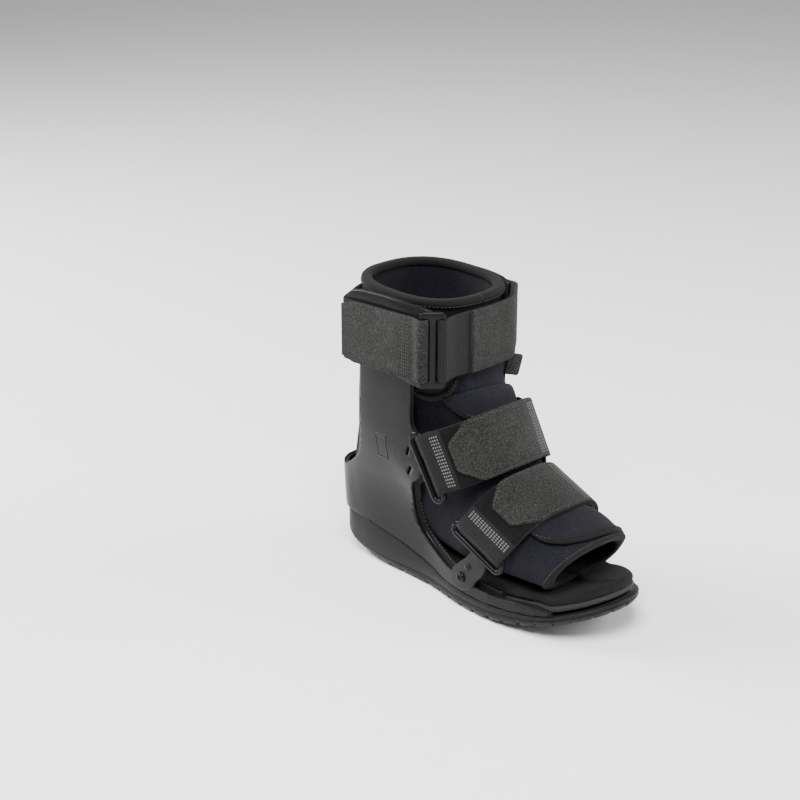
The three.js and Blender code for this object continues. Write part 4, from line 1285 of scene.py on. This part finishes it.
@dataclass
class Liner:
    """Padded fabric boot with its taped openings and loose flaps."""

    around: int = 156
    rows: int = 156

    def build(self, boot: Boot) -> None:
        """Makes the liner, its bindings, its seams and the flaps.

        Args:
            boot: Finishes and the maker of repeated parts.
        """
        last = len(LINER) - 1
        at = np.linspace(0, last, self.rows)
        angle = np.linspace(0, 2 * math.pi, self.around, endpoint=False)
        grid_at, grid_angle = np.meshgrid(at, angle, indexing="ij")
        swell = self._folds(grid_at, grid_angle)
        outer = liner_point(grid_at, grid_angle, swell)
        inner = liner_point(grid_at, grid_angle, swell * 0.6 - LINER_WALL)[::-1]
        obj = loft("liner_padding", np.vstack([outer, inner]), True)
        boot.place(obj, Slot.FABRIC, "liner_foot", "liner_leg")
        held = np.zeros((2 * self.rows, self.around))
        held[: self.rows][np.abs(self._strap_near(grid_at, grid_angle)) < 1] = 0.5
        held[:4] = held[-4:] = held[self.rows - 4:self.rows + 4] = 1
        held[self.rows:] = 1
        puff(obj, held.ravel(), 2.0, 1.4)
        self._binding(boot, last, (0, 6.5), "collar_binding")
        self._binding(boot, 0, (-5.5, 1), "toe_binding")
        toe_hem = lambda s: 0.05 + 0.85 * (1 - s) ** 3 + 0.5 * (1 - s) ** 24
        steady = lambda value: (lambda at: value + 0 * at)
        self._flap(boot, "toe_flap", steady(-46), 74, toe_hem, steady(3.2), 1.2, 2.8)
        self._flap(boot, "tongue_flap", lambda at: np.interp(at, *TONGUE_EDGE.T), 70,
                   lambda s: 5.2 + 0.3 * s, lambda s: 9.7 - 0.8 * s, 1.0, 3.0)
        rear, tip = (lambda s: np.maximum(0.6 - s, 0) / 0.6), (lambda s: np.maximum(s - 0.7, 0) / 0.3)
        ankle_hem = lambda s: 9.74 + 0.6 * rear(s) ** 2 + 0.4 * tip(s) ** 2
        self._flap(boot, "ankle_flap", steady(-66), -28, ankle_hem, steady(10.45), 0.5, 2.5)

    @staticmethod
    def _strap_near(at: Array, angle: Array) -> Array:
        """Under 1 where a lower strap presses on the liner."""
        return np.minimum(np.abs(at - 7.2), np.abs(at - 3.3)) + 0.8 * (np.cos(angle) < -0.2)

    @staticmethod
    def _folds(at: Array, angle: Array) -> Array:
        """Soft folds: creases at the instep, waves at the ankle, full sides and a bulge.

        Args:
            at: Row number along the liner.
            angle: Angle round the liner.

        Returns:
            Distance outwards of each point, in millimetres.
        """
        top = np.clip(np.cos(angle), 0, 1)
        crease = np.sin(at * 7.3 + 1.4 * np.sin(2 * angle + at)) * np.exp(-((at - 5.6) / 2.2) ** 2) * 0.7
        broad = 0.6 * np.sin(3 * angle + 0.9 * at) * np.sin(0.8 * at + 1) * 0.7
        side = 0.5 * np.sin(5.1 * angle - 1.7 * at) * np.exp(-((at - 10) / 2.5) ** 2)
        ends = np.clip(np.minimum(at, 14 - at) / 0.8, 0, 1)
        low_sides = np.exp(-((np.abs(np.sin(angle / 2)) - 0.914) / 0.09) ** 2)
        rolled = 4.5 * np.exp(-((at - 4.4) / 1.6) ** 2) * low_sides
        inner_side = np.exp(-((np.degrees(angle) - 52) / 22) ** 2)
        bunched = 9 * np.exp(-((at - 4.95) / 0.6) ** 2) * inner_side
        return (crease * (0.3 + 0.7 * top) + broad + side - 0.3) * ends + rolled + bunched

    @staticmethod
    def _binding(boot: Boot, at: float, shift: tuple[float, float], node: str) -> None:
        """Tape folded over an opening's edge, with a small pucker at each stitch.

        Args:
            boot: Finishes and the maker of repeated parts.
            at: Row number of the edge.
            shift: Move of the fold past the edge, in y and z.
            node: Name of the solid that it stands for.
        """
        angle = np.linspace(0, 2 * math.pi, 200, endpoint=False)
        move = np.array([0, *shift])
        pucker = 0.035 * np.sin(angle * 60)
        rings = [liner_point(at, angle, g + (pucker if abs(g) < 2 else 0)) + move * s for g, s in BINDING]
        across = 0.0013 * np.arange(len(BINDING))
        girth, across = np.meshgrid(np.linspace(0, 0.33, 200), across, indexing="ij")
        uv = np.stack([girth, across], -1).reshape(-1, 2)
        boot.place(loft(node + "_tape", np.array(rings).transpose(1, 0, 2), True, uv), Slot.TAPE, node)
        line = liner_point(at, angle, 1.5) + move * 0.2
        boot.stitches(node + "_seam", line, unit(line - line.mean(0)), Slot.TAPE, TAPE_PITCH, SEAM)

    @staticmethod
    def _flap(boot: Boot, node: str, start: Callable, end: float, first: Callable, last: Callable,
              lift: float, thick: float) -> None:
        """Padded patch with taped edges at its start and its first row.

        Args:
            boot: Finishes and the maker of repeated parts.
            node: Name of the solid that it stands for.
            start: Angle in degrees where it starts, from the row.
            end: Angle in degrees where it ends.
            first: First row, from the share of the way round.
            last: Last row, from the same share.
            lift: Gap to the liner's face.
            thick: Thickness of the pad.
        """
        around, along = 96, 66
        share = np.linspace(0, 1, around)[:, None]
        s = np.linspace(0, 1, along)[None, :]
        at = first(share) + (last(share) - first(share)) * s
        angle = np.radians(start(at) + (end - start(at)) * share)
        rim = np.minimum(np.minimum(share, 1 - share) * around * 0.6, np.minimum(s, 1 - s) * along * 0.5)
        full = np.maximum(np.sqrt(1 - (1 - np.clip(rim / 2.5, 0, 1)) ** 2), 0.12)
        wave = 0.5 * np.sin(5 * at + 3 * angle) * np.clip(rim / 6, 0, 1)
        high = liner_point(at, angle, lift + thick / 2 + (thick / 2 + wave) * full)
        low = liner_point(at, angle, lift + thick / 2 - thick / 2 * full)
        obj = loft(node + "_padding", np.concatenate([high, low[:, ::-1]], 1))
        boot.place(obj, Slot.FABRIC, node)
        free = np.clip(rim / 8, 0, 1)
        held = np.concatenate([1 - free, np.ones_like(free)], 1)
        puff(obj, np.round(held * 2).ravel() / 2, 200.0, 1.2)
        out_at = lambda a, g: liner_point(a, g, 9.0) - liner_point(a, g, 3.0)
        for part, pick in (("hem", np.s_[:, 0]), ("side", np.s_[0, :])):
            edge, out = high[pick], unit(out_at(at[pick], angle[pick]))
            inner = high[:, 4] if part == "hem" else high[4]
            widths = unit(inner - edge)
            for rows in (edge, widths, out):
                rows[1:-1] = (rows[:-2] + 2 * rows[1:-1] + rows[2:]) / 4
            centre = edge + widths * 1.6 - out * thick * 0.3
            boot.place(sweep_band(f"{node}_{part}_tape", centre, widths, 3.2, thick + 0.7), Slot.TAPE)
            line = edge + widths * 3.4 + out * 0.55
            boot.stitches(f"{node}_{part}_seam", line, out, Slot.TAPE, TAPE_PITCH, TAPE_SEAM)


@dataclass
class Strap:
    """One lower strap: a band between two rings with a folded-back layer on top."""

    name: str
    path: Array
    width: float
    rings: tuple[str, str]
    first: float
    dot_columns: tuple[int, ...] = (4, 6, 8, 10)
    far_seams: tuple[float, ...] = (0.62, 0.645, 0.67, 0.695, 0.72)
    tip: tuple = ((0, 0.4), (1.5, 0.5), (4, 0.58), (17, 0.94), (20, 0.985), (24, 1))

    def build(self, boot: Boot) -> None:
        """Makes the band with its loops, the top layer, the stitches and the dots.

        Args:
            boot: Finishes and the maker of repeated parts.
        """
        centres = centripetal(self.path[:, :3], 14)
        zero = np.zeros((len(self.path), 1))
        widths = unit(centripetal(np.hstack([zero, self.path[:, 3:]]), 14))
        normal = unit(np.cross(unit(np.gradient(centres, axis=0)), widths))
        body, body_w = self._loops(centres, widths, normal)
        band = sweep_band(self.name + "_webbing", body, body_w, self.width / 2, STRAP)
        boot.place(band, Slot.WEBBING, self.name)
        start = round(self.first * (len(centres) - 1))
        top = (centres + normal * (STRAP + 0.45))[start:]
        halves = self.width / 2 * np.interp(arc_length(top), *np.array(self.tip).T)
        hook = slice(round(0.125 * len(centres)), start + 12)
        patch = sweep_band(self.name + "_hook", (centres + normal * (STRAP / 2 + 0.1))[hook], widths[hook],
                           self.width / 2 - 0.8, 0.7)
        boot.place(patch, Slot.PILE, finish=boot.hook)
        stop = len(top) - 6
        top, halves, across, out = top[:stop], halves[:stop], widths[start:][:stop], normal[start:][:stop]
        fold = sweep_band(self.name + "_fold", top, across, halves, FOLD)
        boot.place(fold, Slot.PILE, self.name + "_overlap")
        for k, side in enumerate((-1, 1)):
            line = top + across * (side * (halves - 2.2))[:, None] + out * (STRAP / 2 + 0.3)
            boot.stitches(f"{self.name}_edge_{k}", line, out, Slot.PILE)
        self._bars(boot, centres, widths, normal, start)

    def _loops(self, centres: Array, widths: Array, normal: Array) -> tuple[Array, Array]:
        """Adds the turn round a ring's front bar to each end of the band.

        Args:
            centres: Middle line of the band.
            widths: Direction across it at each point.
            normal: Direction out of it at each point.

        Returns:
            The longer middle line, and the directions across it.
        """
        parts, part_w = [centres[3:-3]], [widths[3:-3]]
        for end, ring in ((0, self.rings[0]), (-1, self.rings[1])):
            middle, along, across = ring_axes(ring)
            bar = middle + across * (RING_WIDTH / 2 - RING_BAR)
            w, c = widths[end], centres[end]
            bar = bar + along * np.dot(c - bar, along)
            n = normal[end]
            u = unit(np.cross(n, w))
            u = u if np.dot(u, bar - centres[5 if end == 0 else -6]) > 0 else -u
            r = RING_BAR + STRAP / 2 + 0.25
            angle = np.radians(np.linspace(95, -110, 15))[:, None]
            arc = bar + r * (np.sin(angle) * n + np.cos(angle) * u)
            turn = np.vstack([arc, arc[-1] - u * 5 + n * 0.8])
            place = 0 if end == 0 else len(parts)
            parts.insert(place, turn[::-1] if end == 0 else turn)
            part_w.insert(place, np.repeat(w[None], len(turn), 0))
        return np.vstack(parts), np.vstack(part_w)

    def _bars(self, boot: Boot, centres: Array, widths: Array, normal: Array, start: int) -> None:
        """Columns of small pale dots near the ring, and cross seams near the tip.

        Args:
            boot: Finishes and the maker of repeated parts.
            centres: Middle line of the band.
            widths: Direction across it at each point.
            normal: Direction out of it at each point.
            start: Number of the point where the top layer starts.
        """
        rows = np.linspace(-self.width / 2 + 3, self.width / 2 - 3, 9)[:, None]
        for k, i in enumerate(self.dot_columns):
            line = centripetal(centres[i] + widths[i] * rows + normal[i] * (STRAP / 2 + 0.05), 3)
            boot.stitches(f"{self.name}_dots_{k}", line, normal[i], Slot.WEBBING, 2.7, PALE_DOT, True)
        for k, share in enumerate(self.far_seams):
            i = start + round(share * (len(centres) - 1 - start))
            line = centripetal(centres[i] + widths[i] * rows + normal[i] * (1.5 * STRAP + 0.75), 3)
            boot.stitches(f"{self.name}_bar_{k}", line, normal[i], Slot.PILE, 2.4, BAR_SEAM, True)


def ring_axes(name: str) -> tuple[Array, Array, Array]:
    """Place and directions of a long ring.

    Args:
        name: Name of the ring.

    Returns:
        Its middle, its long direction and the direction to its front bar.
    """
    x, ty, tz, by, bz = RINGS[name]
    top, bottom = np.array([x, ty, tz]), np.array([x, by, bz])
    along = unit(top - bottom)
    across = unit(np.array([-0.18 * np.sign(x), -along[2], along[1]]))
    return (top + bottom) / 2, along, across


@dataclass
class Hardware:
    """Rings, brackets, rivets, the buckle and the two wings."""

    def build(self, boot: Boot) -> None:
        """Makes every hard fitting.

        Args:
            boot: Finishes and the maker of repeated parts.
        """
        for name in RINGS:
            self._ring(boot, name)
        for sign, side in ((-1, "lateral"), (1, "medial")):
            self._bracket(boot, sign, side)
        self._buckle(boot)
        self._wing(boot, WING_LATERAL, -1, "wing_lateral")
        self._wing(boot, WING_MEDIAL, 1, "wing_medial")

    @staticmethod
    def _ring(boot: Boot, name: str) -> None:
        """Round bar bent into a long loop.

        Args:
            boot: Finishes and the maker of repeated parts.
            name: Name of the ring.
        """
        middle, along, across = ring_axes(name)
        _, top_y, top_z, low_y, low_z = RINGS[name]
        straight = (math.hypot(top_y - low_y, top_z - low_z) - RING_WIDTH) / 2
        corner = RING_WIDTH / 2 - RING_BAR
        loop = []
        for end in (1, -1):
            for angle in np.linspace(0, math.pi, 14):
                loop.append(middle + along * end * (straight + corner * math.sin(angle))
                            + across * end * corner * math.cos(angle))
        boot.place(tube(name + "_bar", np.array(loop), RING_BAR), Slot.BUCKLE, name)

    @staticmethod
    def _bracket(boot: Boot, sign: int, side: str) -> None:
        """Leaning plate with a rivet and a small dome.

        Args:
            boot: Finishes and the maker of repeated parts.
            sign: -1 for the outer side, 1 for the inner side.
            side: The same side in words.
        """
        turn = Matrix.Rotation(sign * BRACKET_LEAN, 4, "Z") @ UPRIGHT_TURN
        place = Matrix.Translation((sign * BRACKET_X, 0, 0)) @ turn
        plate = extruded(f"bracket_{side}_plate", smooth_loop(BRACKET, 5), [], BRACKET_THICK, 0.9, place)
        boot.place(plate, Slot.SHELL, f"bracket_{side}")
        face = lambda y, sink: (sign * (BRACKET_X + BRACKET_THICK / 2 - y * BRACKET_LEAN - sink), y)
        rivet = lathe(f"rivet_{side}_head", RIVET, sign, (*face(-25, -0.15), 30))
        boot.place(rivet, Slot.BUCKLE, f"rivet_{side}")
        boot.place(lathe(f"bracket_{side}_bump", DOME, sign, (*face(-33, 0.1), 42)), Slot.SHELL)

    @staticmethod
    def _buckle(boot: Boot) -> None:
        """Plastic frame with a middle bar.

        Args:
            boot: Finishes and the maker of repeated parts.
        """
        outline = rounded_rectangle(21, 62, 4, 7)
        holes = [rounded_rectangle(4.6, 50, 1.4, 5) + (s * 5, 0) for s in (-1, 1)]
        turn = Matrix.Rotation(-BUCKLE_TURN, 4, "Z") @ FACING
        place = Matrix.Translation((*BUCKLE_MIDDLE, BUCKLE_HEIGHT)) @ turn
        boot.place(extruded("buckle_frame", outline, holes, 4.0, 1.1, place), Slot.BUCKLE, "upper_buckle")

    @staticmethod
    def _wing(boot: Boot, rows: Array, sign: int, node: str) -> None:
        """Plate outside an upright.

        Args:
            boot: Finishes and the maker of repeated parts.
            rows: Its line in plan, its lower edge and its upper edge.
            sign: -1 for the outer side, 1 for the inner side.
            node: Name of the solid that it stands for.
        """
        x, y, low, high = centripetal(rows, 8).T
        centres = np.column_stack([sign * x, y, (low + high) / 2])
        boot.place(sweep_band(node + "_plate", centres, UP, (high - low) / 2, 4.0), Slot.SHELL, node)


@dataclass
class UpperStrap:
    """Strap round the leg with its overlaps, stitches and small tab."""

    # Turns round the buckle's bars: places along and out from its middle.
    front_turn: tuple = ((10.8, 1.0), (10.0, 3.0), (8.4, 3.4), (6.2, 2.6), (5.4, 0), (6.4, -3.0), (10, -4.4))
    outer_turn: tuple = ((-8.6, -5.6), (-5.8, -3.2), (-4.6, 0), (-5.2, 3.4), (-7.6, 4.4), (-10.6, 3.6))

    def build(self, boot: Boot) -> None:
        """Makes the strap, both top layers, the tab and the stitch lines.

        Args:
            boot: Finishes and the maker of repeated parts.
        """
        half, mid = (UPPER_HIGH - UPPER_LOW) / 2, (UPPER_HIGH + UPPER_LOW) / 2
        along = np.array([math.cos(BUCKLE_TURN), -math.sin(BUCKLE_TURN)])
        out = np.array([-math.sin(BUCKLE_TURN), -math.cos(BUCKLE_TURN)])
        near = lambda spots: [BUCKLE_MIDDLE + along * u + out * n for u, n in spots]

        def line(path: Sequence, steps: int) -> Array:
            """Level middle line of a band, from places in plan."""
            fine = centripetal(np.vstack(path), steps)
            return np.column_stack([fine, np.full(len(fine), mid)])

        main = line([UPPER_PATH[:-1], (-38, 2.0), *near(self.front_turn)], 8)
        lateral = line([*near(self.outer_turn), (-65.3, 19), LATERAL_OVERLAP[1:]], 12)
        front = line([FRONT_OVERLAP], 10)
        narrowed = half - 3.4 * np.clip((lateral[:, 1] - 84) / 12.5, 0, 1)
        for name, path, halves, thick, slot, node in (
                ("webbing", main, half, STRAP, Slot.WEBBING, "upper_strap"),
                ("lateral_fold", lateral, narrowed, FOLD, Slot.PILE, "upper_strap_overlap_lateral"),
                ("front_fold", front, half, FOLD, Slot.PILE, "upper_strap_overlap_front")):
            boot.place(sweep_band(f"upper_strap_{name}", path, UP, halves, thick), slot, node)
        self._seams(boot, front, half)
        turn = Matrix.Rotation(-0.15, 4, "Z") @ Matrix.Rotation(0.3, 4, "Y") @ FACING
        place = Matrix.Translation((37.6, 6, 178.6)) @ turn
        tab = extruded("upper_strap_pull", rounded_rectangle(16, 18, 2.5, 5), [], 2.6, 0.8, place)
        boot.place(tab, Slot.PILE, "upper_strap_tab")

    def _seams(self, boot: Boot, front: Array, half: float) -> None:
        """Edge seams of the front overlap, and cross seams of both overlaps.

        Args:
            boot: Finishes and the maker of repeated parts.
            front: Middle line of the front overlap.
            half: Half of the strap's width.
        """
        out = np.cross(unit(np.gradient(front, axis=0)), UP)
        for k, side in enumerate((-1, 1)):
            edge = front + UP * side * (half - 2.4) + out * 1.45
            boot.stitches(f"upper_strap_edge_{k}", edge, out, Slot.PILE)
        heights = lambda inset: np.linspace(UPPER_LOW + inset, UPPER_HIGH - inset, 30)
        upright = lambda x, y, inset: np.column_stack([np.full(30, x), np.full(30, y), heights(inset)])
        for k, index in enumerate((-4, -9)):
            foot = front[index] + out[index] * 1.5
            line = upright(*foot[:2], 4)
            boot.stitches(f"upper_strap_bar_{k}", line, out[index], Slot.PILE, CROSS_PITCH, CROSS_SEAM)
        for k, y in enumerate((23.5, 25.6, 27.7, 29.8)):
            x = float(np.interp(y, LATERAL_OVERLAP[:, 1], LATERAL_OVERLAP[:, 0])) - 1.45
            line = upright(x, y, 3)
            boot.stitches(f"upper_strap_fold_{k}", line, (-1.0, 0, 0), Slot.PILE, CROSS_PITCH, CROSS_SEAM)


# Stage.


# Lights in metres and watts: name, place, power and size.
LIGHTS = (("key", (-0.9, -0.6, 1.9), 95, 1.1), ("fill", (1.4, -1.3, 1.1), 42, 1.2),
          ("back", (-0.6, 1.7, 1.3), 80, 1.0))
CAMERA_PLACE = (-0.9586, -0.8441, 0.6280)
CAMERA_AXES = ((0.70091, 0.24628, -0.66938), (-0.71325, 0.24202, -0.65779), (0, 0.93848, 0.34530))


def plain_material(name: str, colour: Colour, rough: float) -> Finish:
    """Nearly even finish with a slight variation.

    Args:
        name: Name of the material.
        colour: Its lighter colour.
        rough: Its mean roughness.

    Returns:
        The material.
    """
    s = Shader(name)
    n = s.noise(40, 3)
    return s.finish(s.mix(n, tuple(c * 0.97 for c in colour), colour), rough + (n - 0.5) * 0.05)


def build_stage() -> None:
    """Floor, light and camera at the photo's angle."""
    bpy.ops.mesh.primitive_plane_add(size=12, location=(0, 0, 0))
    floor = bpy.context.object
    floor.name = "floor"
    floor.data.materials.append(plain_material("floor", (0.93, 0.93, 0.93), 0.9))
    world = bpy.data.worlds.new("studio")
    bpy.context.scene.world = world
    world.use_nodes = True
    background = world.node_tree.nodes["Background"].inputs
    background["Color"].default_value, background["Strength"].default_value = (1, 1, 1, 1), 0.4
    target = Vector((0, 0, 0.1))
    for name, place, power, size in LIGHTS:
        light = bpy.data.lights.new(name, "AREA")
        light.energy, light.size = power, size
        obj = link_object(name, light)
        obj.location = place
        obj.rotation_euler = (target - Vector(place)).to_track_quat("-Z", "Y").to_euler()
    camera = bpy.data.cameras.new("camera")
    camera.lens, camera.sensor_width = 76.5, 36
    bpy.context.scene.camera = link_object("camera", camera)
    bpy.context.scene.camera.matrix_world = Matrix.Translation(CAMERA_PLACE) @ Matrix(CAMERA_AXES).to_4x4()


def main() -> None:
    """Builds the boot's looks in order and reports each step."""
    logging.basicConfig(level=logging.INFO, format="%(message)s")
    for obj in list(bpy.data.objects):
        bpy.data.objects.remove(obj)
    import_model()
    boot = Boot(build_materials(), Repeater(), plain_material("thread", (0.04, 0.0385, 0.035), 0.7),
                plain_material("pale_dot", (0.1, 0.1, 0.098), 0.45),
                Finishes.fabric("hook_tape", grey(0.0012), grey(0.005), 0.02, 1.0, PILE_THREAD),
                Finishes.fabric("smooth_foam", (0.0044, 0.0043, 0.0041), (0.0105, 0.0103, 0.0098), 0.02, 0.3))
    assemblies = [Sole(), Shell(), Liner(), Hardware(), UpperStrap(),
                  Strap("mid_strap", MID_PATH, 50, ("ring_mid_lateral", "ring_mid_medial"), 0.14),
                  Strap("front_strap", FRONT_PATH, 49, ("ring_front_lateral", "ring_front_medial"), 0.185)]
    for part in assemblies:
        part.build(boot)
        LOG.info("built %s", type(part).__name__)
    build_stage()
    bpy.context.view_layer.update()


if __name__ == "__main__":
    main()
